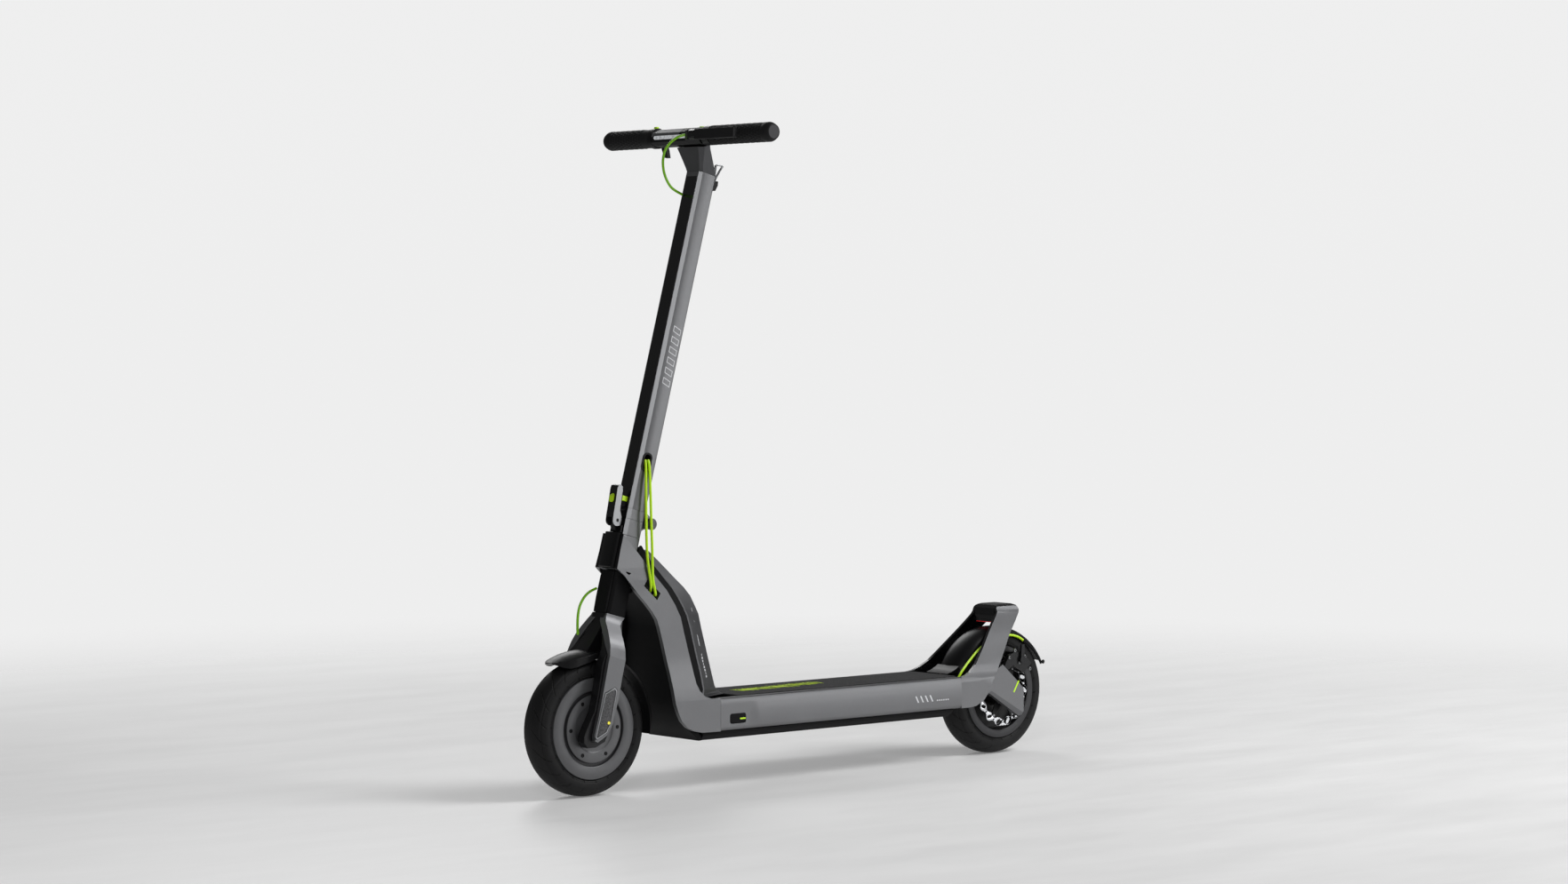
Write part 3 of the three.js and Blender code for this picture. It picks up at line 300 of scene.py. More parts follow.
def lens(name, rgb, glow, rough=0.12):
    """A moulded lens with small optic cells."""
    made, tree, shader = new_material(name, rough, 0)
    place = node(tree, "TexCoord").outputs["Object"]
    cells = node(tree, "TexVoronoi", Vector=place, Scale=260.0)
    colour = mix(tree, ramp(tree, cells.outputs["Distance"], 0, 1), shade(rgb, 1.1), shade(rgb, 0.6))
    tree.links.new(colour, shader.inputs["Base Color"])
    tree.links.new(colour, shader.inputs["Emission Color"])
    shader.inputs["Emission Strength"].default_value = glow
    shader.inputs["Coat Weight"].default_value = 1.0
    relief = node(tree, "Bump", Height=cells.outputs["Distance"], Strength=0.25, Distance=0.0003)
    tree.links.new(relief.outputs[0], shader.inputs["Normal"])
    return made


SIPES = 22  # on each side of a tyre
SIPE_DEPTH = 0.0016
TREAD_HALF_WIDTH = 0.024
M = {
    "graphite": finish("graphite", (0.155, 0.157, 0.163), 0.4, 0.78, vary=0.08, flake=0.16, bump=0.05,
                       coat=0.15),
    "graphite_dark": finish("graphite_dark", (0.1, 0.101, 0.106), 0.42, 0.72, vary=0.1, flake=0.16,
                            bump=0.06),
    # A lighter copy of the graphite for the front chamfers: its lower roughness and higher metal are real,
    # its lighter colour is a painted highlight along the chamfer edges.
    "chamfer_painted_highlight": finish("graphite_chamfer_painted_highlight", (0.24, 0.244, 0.252), 0.36, 0.85, vary=0.08, bump=0.01, rough_vary=0.02,
                   patch=8),
    "black": finish("satin_black", (0.005, 0.005, 0.0055), 0.36, 0.0, grain=2200, bump=0.2, depth=0.03,
                    specular=0.2),
    "black_soft": finish("soft_black", (0.005, 0.005, 0.0055), 0.6, 0.0, grain=1400, bump=0.35, depth=0.05,
                         specular=0.12),
    "gloss": finish("gloss_black", (0.003, 0.003, 0.0035), 0.16, 0.0, bump=0.02, rough_vary=0.03, coat=0.15,
                    specular=0.35),
    "alloy_black": finish("alloy_black", (0.011, 0.011, 0.012), 0.36, 0.3, grain=1800, bump=0.12,
                          specular=0.35),
    "rubber": finish("rubber", (0.008, 0.008, 0.0085), 0.6, 0.0, grain=1100, bump=0.3, depth=0.05, vary=0.2,
                     specular=0.3),
    "tyre_front": tyre_rubber("tyre_rubber_front", FRONT_X),
    "tyre_rear": tyre_rubber("tyre_rubber_rear", REAR_X),
    "hub": finish("hub_metal", (0.125, 0.126, 0.131), 0.5, 0.55, vary=0.08, flake=0.1, bump=0.1),
    # Darker hub metal; on the front hub it fills the groove as painted shade.
    "hub_dark_and_groove_shade": finish("hub_metal_dark_and_groove_shade", (0.05, 0.05, 0.053), 0.5, 0.55, vary=0.1, bump=0.1),
    "silver": finish("silver", (0.3, 0.305, 0.315), 0.34, 1.0, vary=0.1, bump=0.08, stretch=(1, 12, 1)),
    "steel": finish("steel", (0.26, 0.265, 0.27), 0.34, 1.0, vary=0.08, bump=0.08, stretch=(1, 8, 1)),
    "neon": finish("neon_plastic", (0.6, 0.97, 0.003), 0.4, 0.0, vary=0.06, bump=0.1, coat=0.15),
    "neon_deep": finish("neon_cable", (0.24, 0.62, 0.006), 0.38, 0.0, vary=0.07, bump=0.1, coat=0.2),
    "print": finish("neon_print", (0.58, 0.92, 0.004), 0.55, 0.0, vary=0.3, patch=120, bump=0.3),
    "white_print": finish("white_print", (0.7, 0.71, 0.73), 0.5, 0.0, vary=0.08, bump=0.1),
    "mat": grip_tape(),
    "disc": brushed_disc("disc_steel", (REAR_X * MM, 0, AXLE_Z * MM), (0.62, 0.63, 0.65), 0.3),
    "red": lens("red_lens", (0.55, 0.012, 0.014), 0.6),
    "headlight": lens("headlight_lens", (0.7, 0.72, 0.75), 0.35, 0.08),
    "crackle": crackle(),
    # The amber reflector lens glows though a reflector is no lamp: that glow is painted light.
    "amber_painted_glow": lens("reflector_painted_glow", (0.85, 0.75, 0.02), 0.4),
}


# ==== mesh helpers ====
def lathe(bm, profile, centre, axis=(0, 1, 0), segments=96, closed=True, mat=0, wave=None):
    """Turns the [radius, along] profile (mm) about an axis through centre; wave changes a radius by angle."""
    along = Vector(axis).normalized()
    side = Vector((1, 0, 0)) if abs(along.x) < 0.9 else Vector((0, 1, 0))
    side = (side - along * side.dot(along)).normalized()
    other = along.cross(side)
    rings = []
    for radius, t in profile:
        if radius < 1e-6:
            rings.append([bm.verts.new(centre + along * t * MM)])
            continue
        ring = []
        for k in range(segments):
            a = 2 * math.pi * k / segments
            r = radius + (wave(a, radius, t) if wave else 0)
            outward = side * math.cos(a) + other * math.sin(a)
            ring.append(bm.verts.new(centre + along * t * MM + outward * r * MM))
        rings.append(ring)
    pairs = list(zip(rings, rings[1:])) + ([(rings[-1], rings[0])] if closed else [])
    for a, b in pairs:
        for k in range(segments):
            j = (k + 1) % segments
            if len(a) == 1 and len(b) == 1:
                continue
            if len(a) == 1:
                corners = (a[0], b[j], b[k])
            elif len(b) == 1:
                corners = (a[k], a[j], b[0])
            else:
                corners = (a[k], a[j], b[j], b[k])
            bm.faces.new(corners).material_index = mat
    return rings


def prism(bm, low, high, mat=0):
    """A solid between two outlines with the same number of points."""
    a = [bm.verts.new(p) for p in low]
    b = [bm.verts.new(p) for p in high]
    bm.faces.new(list(reversed(a))).material_index = mat
    bm.faces.new(b).material_index = mat
    for k in range(len(a)):
        j = (k + 1) % len(a)
        bm.faces.new((a[k], a[j], b[j], b[k])).material_index = mat


def spline(points, per_span=8):
    """Catmull-Rom curve through the points."""
    out = []
    for i in range(len(points) - 1):
        p0 = points[max(i - 1, 0)]
        p1, p2 = points[i], points[i + 1]
        p3 = points[min(i + 2, len(points) - 1)]
        for k in range(per_span):
            t = k / per_span
            out.append(0.5 * (
                2 * p1 + (p2 - p0) * t + (2 * p0 - 5 * p1 + 4 * p2 - p3) * t * t
                + (3 * p1 - p0 - 3 * p2 + p3) * t * t * t
            ))
    out.append(points[-1].copy())
    return out


def tube(bm, path, radius, sides=14, mat=0, caps=True):
    """A round tube along a path, radius in mm or a function of the share of the length."""
    tangent = (path[1] - path[0]).normalized()
    normal = tangent.orthogonal().normalized()
    rings = []
    for i, p in enumerate(path):
        ahead = (path[min(i + 1, len(path) - 1)] - path[max(i - 1, 0)]).normalized()
        normal = (normal - ahead * normal.dot(ahead)).normalized()
        other = ahead.cross(normal)
        r = (radius(i / (len(path) - 1)) if callable(radius) else radius) * MM
        rings.append([
            bm.verts.new(p + (normal * math.cos(2 * math.pi * k / sides)
                              + other * math.sin(2 * math.pi * k / sides)) * r)
            for k in range(sides)
        ])
    for a, b in zip(rings, rings[1:]):
        for k in range(sides):
            j = (k + 1) % sides
            bm.faces.new((a[k], a[j], b[j], b[k])).material_index = mat
    if caps:
        bm.faces.new(list(reversed(rings[0]))).material_index = mat
        bm.faces.new(rings[-1]).material_index = mat


def show(name, bm, materials, body=None, replaces=(), slot=None, bevel=0.0, segments=2, smooth=30, limit=30):
    """Makes a piece out of a bmesh, softens its edges and rides it on its body."""
    bmesh.ops.recalc_face_normals(bm, faces=bm.faces)
    mesh = bpy.data.meshes.new(name)
    bm.to_mesh(mesh)
    bm.free()
    for key in materials:
        mesh.materials.append(M[key])
    mesh.polygons.foreach_set("use_smooth", [True] * len(mesh.polygons))
    mesh.set_sharp_from_angle(angle=math.radians(smooth))
    piece = bpy.data.objects.new(name, mesh)
    bpy.context.scene.collection.objects.link(piece)
    if bevel:
        soft = piece.modifiers.new("soft_edges", "BEVEL")
        soft.width, soft.segments = bevel * MM, segments
        soft.limit_method, soft.angle_limit = "ANGLE", math.radians(limit)
        soft.miter_outer = "MITER_ARC"
        even = piece.modifiers.new("even_normals", "WEIGHTED_NORMAL")
        even.keep_sharp = True
    if body:
        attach(piece, body)
    if replaces:
        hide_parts(*replaces)
    return piece


def clone(cad, materials, bevel=0.6, pick=None, cuts=(), warp=None, **more):
    """A CAD node with softened edges; pick gives a face's material from its centre (mm) and normal."""
    bm = bmesh.new()
    bm.from_mesh(NODES[cad].data)
    bmesh.ops.remove_doubles(bm, verts=bm.verts, dist=3e-5)
    bmesh.ops.dissolve_limit(bm, angle_limit=math.radians(0.8), verts=bm.verts, edges=bm.edges)
    for where, normal in cuts:
        geometry = list(bm.verts) + list(bm.edges) + list(bm.faces)
        bmesh.ops.bisect_plane(bm, geom=geometry, plane_co=where, plane_no=Vector(normal).normalized(),
                               dist=1e-6)
    for face in bm.faces:
        face.material_index = pick(face.calc_center_median() / MM, face.normal) if pick else 0
    if warp:
        for vert in bm.verts:
            vert.co = warp(vert.co / MM) * MM
    return show(cad + "_skin", bm, materials, BODY_OF[cad], [cad], SLOT_OF[cad], bevel, **more)


def sheet_plate(loops, depth, place, bevel=0.0):
    """A flat plate with holes from 2D loops (mm); place is the matrix that carries it to the row frame."""
    data = bpy.data.curves.new("plate", "CURVE")
    data.dimensions, data.fill_mode = "2D", "BOTH"
    data.extrude, data.bevel_depth, data.bevel_resolution = depth * MM / 2 - bevel * MM, bevel * MM, 1
    data.offset = -bevel * MM
    for loop in loops:
        line = data.splines.new("POLY")
        line.points.add(len(loop) - 1)
        for point, (x, y) in zip(line.points, loop):
            point.co = (x * MM, y * MM, 0, 1)
        line.use_cyclic_u = True
    holder = bpy.data.objects.new("plate", data)
    bpy.context.scene.collection.objects.link(holder)
    bpy.context.view_layer.update()
    mesh = bpy.data.meshes.new_from_object(holder.evaluated_get(bpy.context.evaluated_depsgraph_get()))
    mesh.transform(place)
    bm = bmesh.new()
    bm.from_mesh(mesh)
    bmesh.ops.remove_doubles(bm, verts=bm.verts, dist=1e-6)
    bpy.data.objects.remove(holder)
    bpy.data.meshes.remove(mesh)
    bpy.data.curves.remove(data)
    return bm


def join(bm, other, mat=0):
    """Adds other's mesh to bm."""
    for face in other.faces:
        face.material_index = mat
    mesh = bpy.data.meshes.new("join")
    other.to_mesh(mesh)
    other.free()
    bm.from_mesh(mesh)
    bpy.data.meshes.remove(mesh)
    return bm


def inset(loop, by):
    """The loop moved inward by a distance, for a counter-clockwise loop."""
    area = sum(a[0] * b[1] - b[0] * a[1] for a, b in zip(loop, loop[1:] + loop[:1]))
    sign = 1 if area > 0 else -1
    out = []
    for i, p in enumerate(loop):
        a, b = Vector(loop[i - 1]), Vector(loop[(i + 1) % len(loop)])
        p = Vector(p)
        d0, d1 = (p - a).normalized(), (b - p).normalized()
        n0, n1 = Vector((-d0.y, d0.x)) * sign, Vector((-d1.y, d1.x)) * sign
        m = (n0 + n1).normalized()
        out.append(tuple(p + m * by / max(m.dot(n0), 0.35)))
    return out


def screw(bm, where, axis, radius=3.2, height=1.2, mat=0, socket=True):
    """A button-head screw with a hexagon socket."""
    r, h = radius, height
    profile = [(0, -0.6), (r * 0.9, -0.6), (r, 0), (r, h * 0.45), (r * 0.86, h * 0.85), (r * 0.6, h),
               (r * 0.5, h)]
    lathe(bm, profile + ([(r * 0.46, h * 0.25), (0, h * 0.25)] if socket else [(0, h)]), where, axis, 18,
          False, mat)


# ==== plain shapes that keep the CAD form, with softened edges ====
def along_s(centre):
    """Steering-frame (f, s) of a point in millimetres."""
    dx, dz = centre.x - AXIS_X, centre.z - AXLE_Z
    return dx * math.cos(LEAN) + dz * math.sin(LEAN), -dx * math.sin(LEAN) + dz * math.cos(LEAN)


def on_chamfer(normal):
    """True for the slanted corner faces at the front of the steering column."""
    ahead = normal.x * math.cos(LEAN) + normal.z * math.sin(LEAN)
    return ahead > 0.4 and abs(normal.y) > 0.4


# Index 2 in the column, foot, stem and neck picks puts the chamfer faces on the lighter graphite copy, a
# painted highlight along the front edges.
def column_pick(centre, normal):
    f, s = along_s(centre)
    if on_chamfer(normal) and s > 309 and f < 18:
        return 2
    return 1 if (f > 17.2 and s > 311) or s < 309 else 0


def foot_pick(centre, normal):
    f, _ = along_s(centre)
    return 2 if on_chamfer(normal) else 1 if f > 17.9 else 0


def stem_pick(centre, normal):
    f, s = along_s(centre)
    inside = abs(centre.y) < 17.3 and -15.6 < f < 16.5
    if on_chamfer(normal) and f > 12:
        return 2
    return 1 if inside or (f < -18.05 and s > 880) else 0


def lever_pick(centre, normal):
    return 1 if abs(normal.y) > 0.8 and abs(centre.y) > 8.5 else 0


def hoop_pick(centre, normal):
    outward = normal.y * (1 if centre.y > 0 else -1)
    top = normal.z > 0.6 and centre.z > 246
    band = (centre.x + 397.5) * (73.2 - 113.9) - (centre.z - 113.9) * (-471.4 + 397.5) < 0
    low_arm = centre.x < -385 and band and centre.z < 118 and abs(centre.y) < 56
    if low_arm:
        return 1
    return 2 if outward < -0.5 or top or (outward < 0.2 and centre.x > -440 and centre.z > 150) else 0


def neck_pick(centre, normal):
    inner = normal.y * (1 if centre.y > 0 else -1) < -0.3 and abs(centre.y) > 8
    _, s = along_s(centre)
    if on_chamfer(normal) and s > 262 and abs(centre.y) < 21:
        return 2
    front = normal.x > 0.85 and abs(centre.y) < 21
    rim = normal.x < -0.3 and abs(centre.y) < 40
    return 1 if inner or front or rim else 0


def bulged(half_width, rise, sides):
    """A warp that swells the outer left and right faces; sides gives a point's place across the face."""
    def warp(p):
        if abs(p.y) > half_width:
            place = sides(p)
            p.y += math.copysign(rise * max(0, 1 - place * place), p.y)
        return p
    return warp


def hood_warp(p):
    """Rounds the front mudguard's nose down towards its two edges."""
    if p.x > 440 and p.z > 200:
        share = min(1, (p.x - 440) / 26)
        p.z -= 8.5 * share * (abs(p.y) / 28.6) ** 2.2
    return p


def housing_pick(centre, normal):
    if centre.z > BAR.z + 12.5 and abs(centre.x - BAR.x) < 6 and 27 < centre.y < 41:
        return 2
    return 1 if centre.y < -6 and normal.z > 0.1 and abs(normal.y) < 0.7 else 0


def throttle_pick(centre, normal):
    return 1 if centre.z > BAR.z + 14.5 and abs(centre.x - BAR.x) < 5 else 0


PLAIN = {
    "neck_casting": (["graphite", "black", "chamfer_painted_highlight"], 0.5, neck_pick),
    "head_nose": (["black"], 1.5, None),
    "channel_liner": (["black_soft"], 0.6, None),
    "spine_cover": (["graphite_dark"], 1.2, None),
    "front_panel": (["black_soft"], 0.8, None),
    "deck_rail_left": (["graphite"], 0.8, None),
    "deck_rail_right": (["graphite"], 0.8, None),
    "hoop_left": (["graphite", "graphite_dark", "gloss"], 1.2, hoop_pick),
    "hoop_right": (["graphite", "graphite_dark", "gloss"], 1.2, hoop_pick),
    "fork_shell_left": (["graphite"], 1.0, None),
    "fork_shell_right": (["graphite"], 1.0, None),
    "fork_leg_left": (["alloy_black"], 1.0, None),
    "fork_leg_right": (["alloy_black"], 1.0, None),
    "charge_socket": (["black"], 0.3, None),
    "charge_cap": (["black_soft"], 0.7, None),
    "deck_board": (["black"], 0.4, None),
    "grip_mat": (["mat"], 0.5, None),
    "deck_pan": (["black_soft"], 1.5, None),
    "battery_pack": (["black"], 2.0, None),
    "stand_bracket": (["alloy_black"], 0.8, None),
    "kickstand_leg": (["alloy_black"], 0.8, None),
    "hoop_bridge": (["gloss"], 0.8, None),
    "tail_light": (["gloss"], 0.4, None),
    "rear_axle": (["steel"], 0.5, None),
    "caliper_body": (["alloy_black"], 0.9, None),
    "caliper_arm": (["alloy_black"], 0.5, None),
    "fork_column": (["graphite", "black", "chamfer_painted_highlight"], 0.7, column_pick),
    "fork_crown": (["black_soft"], 0.9, None),
    "fork_fascia": (["black_soft"], 1.6, None),
    "front_mudguard": (["black"], 1.2, None),
    "front_axle": (["steel"], 0.4, None),
    "latch_lever": (["alloy_black", "silver"], 0.8, lever_pick),
    "latch_button": (["neon"], 0.4, None),
    "latch_tab": (["neon"], 0.4, None),
    "fold_pin": (["graphite_dark"], 0.8, None),
    "stem_foot": (["graphite", "black", "chamfer_painted_highlight"], 0.7, foot_pick),
    "stem_tube": (["graphite", "black", "chamfer_painted_highlight"], 0.8, stem_pick),
    "stem_strip": (["gloss"], 0.3, None),
    "stem_neck": (["graphite_dark"], 1.6, None),
    "handlebar": (["steel"], 0.3, None),
    "bar_housing": (["black", "graphite", "neon"], 0.8, housing_pick),
    "headlight_lens": (["headlight"], 0.4, None),
    "display_screen": (["gloss"], 0.3, None),
    "brake_perch": (["alloy_black"], 0.6, None),
    "brake_lever": (["alloy_black"], 1.4, None),
    "throttle_paddle": (["black", "neon"], 0.7, throttle_pick),
}
F_AXIS = Vector((math.cos(LEAN), 0, math.sin(LEAN)))
ARM_LINE = (at(-397.5, 0, 113.9), (-40.7, 0, 73.9))
RAIL_MID, RAIL_TALL, PORT_X = 114.0, 22.5, 192.0
RAIL_CUTS = [(at(0, 0, z), (0, 0, 1)) for z in range(96, 134, 4)]
RAIL_CUTS += [(at(PORT_X - x, 0, 0), (1, 0, 0)) for x in (26, 32, 39, 46)]
CUTS = {
    "bar_housing": [(at(0, -6, 0), (0, 1, 0))],
    "hoop_left": [ARM_LINE],
    "hoop_right": [ARM_LINE],
    "front_mudguard": [(at(0, y, 0), (0, 1, 0)) for y in (-25.5, -21, -15, -8, 0, 8, 15, 21, 25.5)],
    "stem_tube": [(steered(f, 0, 0), F_AXIS) for f in (-9, -5.5, -2, 1.5, 5, 8.5)],
    "deck_rail_left": RAIL_CUTS,
    "deck_rail_right": RAIL_CUTS,
}


def rail_warp(p):
    """Swells a rail's outer face, but leaves it flat around the charge port's flap."""
    if abs(p.y) > 70.3:
        away = min(1, max(0, (PORT_X - p.x - 26) / 20))
        place = (p.z - RAIL_MID) / RAIL_TALL
        p.y += math.copysign(1.3 * away * max(0, 1 - place * place), p.y)
    return p


WARPS = {
    "front_mudguard": hood_warp,
    "stem_tube": bulged(19.7, 0.8, lambda p: along_s(p)[0] / 13),
    "deck_rail_left": rail_warp,
    "deck_rail_right": rail_warp,
}
for cad, (materials, bevel, pick) in PLAIN.items():
    clone(cad, materials, bevel, pick, cuts=CUTS.get(cad, ()), warp=WARPS.get(cad))

# wire loop of the hook, with the eye that turns on its pin
bm = bmesh.new()
wire = [(-29.4, 907), (-31.6, 914), (-35.6, 925), (-39.6, 933.6), (-38.6, 935), (-33, 934.2), (-27, 933),
        (-25.6, 931.4),
        (-26.6, 922), (-27.4, 914), (-27.6, 907)]
for side in (-1, 1):
    tube(bm, [steered(f, 1.5 * side, s0) for f, s0 in wire], 1.05, 12)
lathe(bm, [(1.6, -2.6), (3, -2.6), (3, 2.6), (1.6, 2.6)], steered(-28.4, 0, 905.5), segments=28)
show("stem_hook_wire", bm, ["silver"], BODY_OF["stem_hook"], ["stem_hook"], SLOT_OF["stem_hook"], smooth=50)


# ==== tyres, hubs and disc ====
TYRE_HALF = [
    (80.5, 20.5), (80.5, 22.4), (82.2, 24.2), (84, 24.9), (84.7, 24.5), (85.4, 25), (88, 25.5), (92, 25.6),
    (95, 25.2), (97.6, 24.2), (99.6, 22.9), (100.7, 21.9), (100.5, 21.2), (101.6, 20.6), (102.9, 20),
    (104.2, 17.9),
    (105.4, 15.4), (106.4, 12.6), (107.1, 9.8), (107.6, 7), (107.9, 3.5),
]
def tyre_mesh(name, x, body, cad, rubber):
    bm = bmesh.new()
    profile = TYRE_HALF + [(108, 0)] + [(r, -t) for r, t in reversed(TYRE_HALF)]
    lathe(bm, profile, at(x, 0, AXLE_Z), segments=240)
    show(name, bm, [rubber], body, [cad], SLOT_OF[cad], smooth=50)


tyre_mesh("front_tyre_treaded", FRONT_X, "front_wheel", "front_tyre", "tyre_front")
tyre_mesh("rear_tyre_treaded", REAR_X, "rear_wheel", "rear_tyre", "tyre_rear")

HUB_SIDE = [
    (6.6, 28), (22, 28), (22.8, 27.7), (24, 25.8), (25, 25.4), (35.8, 25.4), (36.6, 25.7), (37.6, 26.4),
    (38.4, 26.6),
    (52.4, 26.6), (53.4, 26.2), (54, 25.2), (54.4, 21.4), (59.2, 21.4), (59.6, 24.6), (60.2, 25.6), (61, 26),
    (79, 26), (79.9, 25.4), (80.2, 24.4),
]


HUB_SCREW_CIRCLE = 46.5


def hub(name, x, body, cad, profile, dark, materials, screws):
    bm = bmesh.new()
    lathe(bm, profile, at(x, 0, AXLE_Z), segments=128)
    for face in bm.faces:
        c = face.calc_center_median() / MM
        radius = math.hypot(c.x - x, c.z - AXLE_Z)
        face.material_index = 1 if dark[0] < radius < dark[1] else 0
    show(name, bm, materials, body, [cad], SLOT_OF[cad], smooth=40)
    bm = bmesh.new()
    for k in range(6):
        a = math.radians(60 * k)
        for side, height in screws:
            where = at(x + HUB_SCREW_CIRCLE * math.cos(a), side * height,
                       AXLE_Z + HUB_SCREW_CIRCLE * math.sin(a))
            screw(bm, where, (0, side, 0), 3.2, 0.7)
    show(name + "_screws", bm, ["black"], body, smooth=40)


# The band from radius 53.9 to 59.7 mm is the front hub's groove, painted darker as shade in the recess.
hub("front_hub_rings", FRONT_X, "front_wheel", "front_hub",
    HUB_SIDE + [(r, -t) for r, t in reversed(HUB_SIDE)],
    (53.9, 59.7), ["hub", "hub_dark_and_groove_shade"], [(1, 26.6), (-1, 26.6)])
REAR_HUB = [
    (6.6, -28), (22, -28), (24, -26), (40, -26), (41, -24), (42, -22), (52, -21.6), (62, -22), (64, -23),
    (66, -25.4),
    (67.4, -26), (79, -26), (79.9, -25.4), (80.2, -24.4), (80.2, 24.4), (79.9, 25.4), (79, 26), (67.6, 26),
    (66.6, 25.4), (65.6, 23.6), (64.8, 8), (63, 6.2), (26, 4.4), (24, 6), (23, 29.4), (22.2, 30.6),
    (15, 30.6),
    (15, 33.4), (6.6, 33.4),
]
hub("rear_hub_rings", REAR_X, "rear_wheel", "rear_hub", REAR_HUB, (0, 66.4), ["hub_dark_and_groove_shade", "black"],
    [(-1, 22.4)])


def ring(cx, cy, radius, count, wave=0.0, lobes=0, phase=0.0):
    return [
        (cx + (radius + wave * math.cos(lobes * t + phase)) * math.cos(t),
         cy + (radius + wave * math.cos(lobes * t + phase)) * math.sin(t))
        for t in (2 * math.pi * k / count for k in range(count))
    ]


def oval(cx, cy, a, b, turn, count=20):
    return [
        (cx + a * math.cos(t) * math.cos(turn) - b * math.sin(t) * math.sin(turn),
         cy + a * math.cos(t) * math.sin(turn) + b * math.sin(t) * math.cos(turn))
        for t in (2 * math.pi * k / count for k in range(count))
    ]


DISC_FACE = 32.9
RIVET_CIRCLE, HUB_BOLT_CIRCLE = 45.6, 20


def brake_disc():
    side = Matrix(((1, 0, 0, REAR_X * MM), (0, 0, 1, 31.9 * MM), (0, 1, 0, AXLE_Z * MM), (0, 0, 0, 1)))
    lobes = 14
    loops = [ring(0, 0, 56.9, 224, 3.1, lobes), ring(0, 0, 46.6, 224, 1.9, lobes, math.pi)]
    for k in range(lobes):
        a = 2 * math.pi * k / lobes
        loops.append(oval(52.2 * math.cos(a), 52.2 * math.sin(a), 5.9, 2.9, a + 0.75))
        b = a + math.pi / lobes
        loops.append(oval(51.6 * math.cos(b), 51.6 * math.sin(b), 2.4, 1.3, b + 0.75, 12))
    bm = sheet_plate(loops, 1.9, side, 0.2)
    show("brake_disc_ring", bm, ["disc"], "rear_wheel", ["brake_disc"], SLOT_OF["brake_disc"], smooth=25)
    spider = []
    for k in range(6):
        a = 2 * math.pi * k / 6
        for da, r in ((-0.30, 25), (-0.14, 40), (-0.12, 47.6), (0.12, 47.6), (0.14, 40), (0.30, 25)):
            spider.append((r * math.cos(a + da), r * math.sin(a + da)))
    bm = sheet_plate([spider, ring(0, 0, 15.6, 48)], 1.9, side, 0.2)
    show("brake_disc_spider", bm, ["black"], "rear_wheel", smooth=25)
    bm = bmesh.new()
    for k in range(6):
        a = 2 * math.pi * k / 6
        rivet = at(REAR_X + RIVET_CIRCLE * math.cos(a), DISC_FACE, AXLE_Z + RIVET_CIRCLE * math.sin(a))
        bolt = at(REAR_X + HUB_BOLT_CIRCLE * math.cos(a), DISC_FACE, AXLE_Z + HUB_BOLT_CIRCLE * math.sin(a))
        screw(bm, rivet, (0, 1, 0), 2.6, 0.9, socket=False)
        screw(bm, bolt, (0, 1, 0), 2.4, 1.2)
    show("brake_disc_rivets", bm, ["silver"], "rear_wheel", smooth=40)


brake_disc()


# ==== grips ====
def grip(name, cad, start, textured, side):
    """Rubber grip with rows of small diamonds and a flanged end."""
    profile = [(11.3, start), (15.2, start), (15.75, start + 0.6), (15.75, start + 3.4), (15.1, start + 4.2)]
    t = start + 5
    while t < 188.5:
        profile.append((15.05, t))
        t += 1.15
    profile += [(15.1, 189), (15.75, 190), (15.75, 197.4), (15.2, 199.6), (14.2, 202), (13, 204.4),
                (12.4, 205.6),
                (11.4, 206.2), (10.8, 206.4), (10.4, 206), (0, 206)]

    def knurl(angle, radius, along):
        if not textured < along < 188 or radius != 15.05:
            return 0
        u = angle * 20 / (2 * math.pi)
        v = (along - textured) / 6.6
        u -= round(u) if int(math.floor(v)) % 2 else math.floor(u) + 0.5
        v -= math.floor(v) + 0.5
        return 0.7 * max(0, min(1, 2.2 * (1 - 1.9 * abs(u) - 1.9 * abs(v))))

    bm = bmesh.new()
    lathe(bm, profile, BAR * MM, (0, side, 0), 160, False, 0, knurl)
    lathe(bm, [(11.3, start), (11.3, 203.4), (0, 203.4)], BAR * MM, (0, side, 0), 48, False, 0)
    for face in bm.faces:
        c = face.calc_center_median() / MM
        if abs(c.y) > 205.9 and math.hypot(c.x - BAR.x, c.z - BAR.z) < 10.5:
            face.material_index = 1
    show(name, bm, ["rubber", "hub_dark_and_groove_shade"], "stem", [cad], SLOT_OF[cad], smooth=35)


grip("grip_left_knurled", "grip_left", 63, 69, 1)
grip("grip_right_knurled", "grip_right", 88, 108, -1)

# ==== fender over the rear wheel: one crowned sheet from the deck to the tail ====
CROWN_HALF = [(0, 112.9), (5, 112.75), (10, 112.1), (14, 111.3), (18, 109.9), (21, 108.3), (24, 106.1),
              (26.4, 103.9),
              (28.2, 101.4), (29.1, 99.4), (29.4, 98)]
SHEET = 2.2


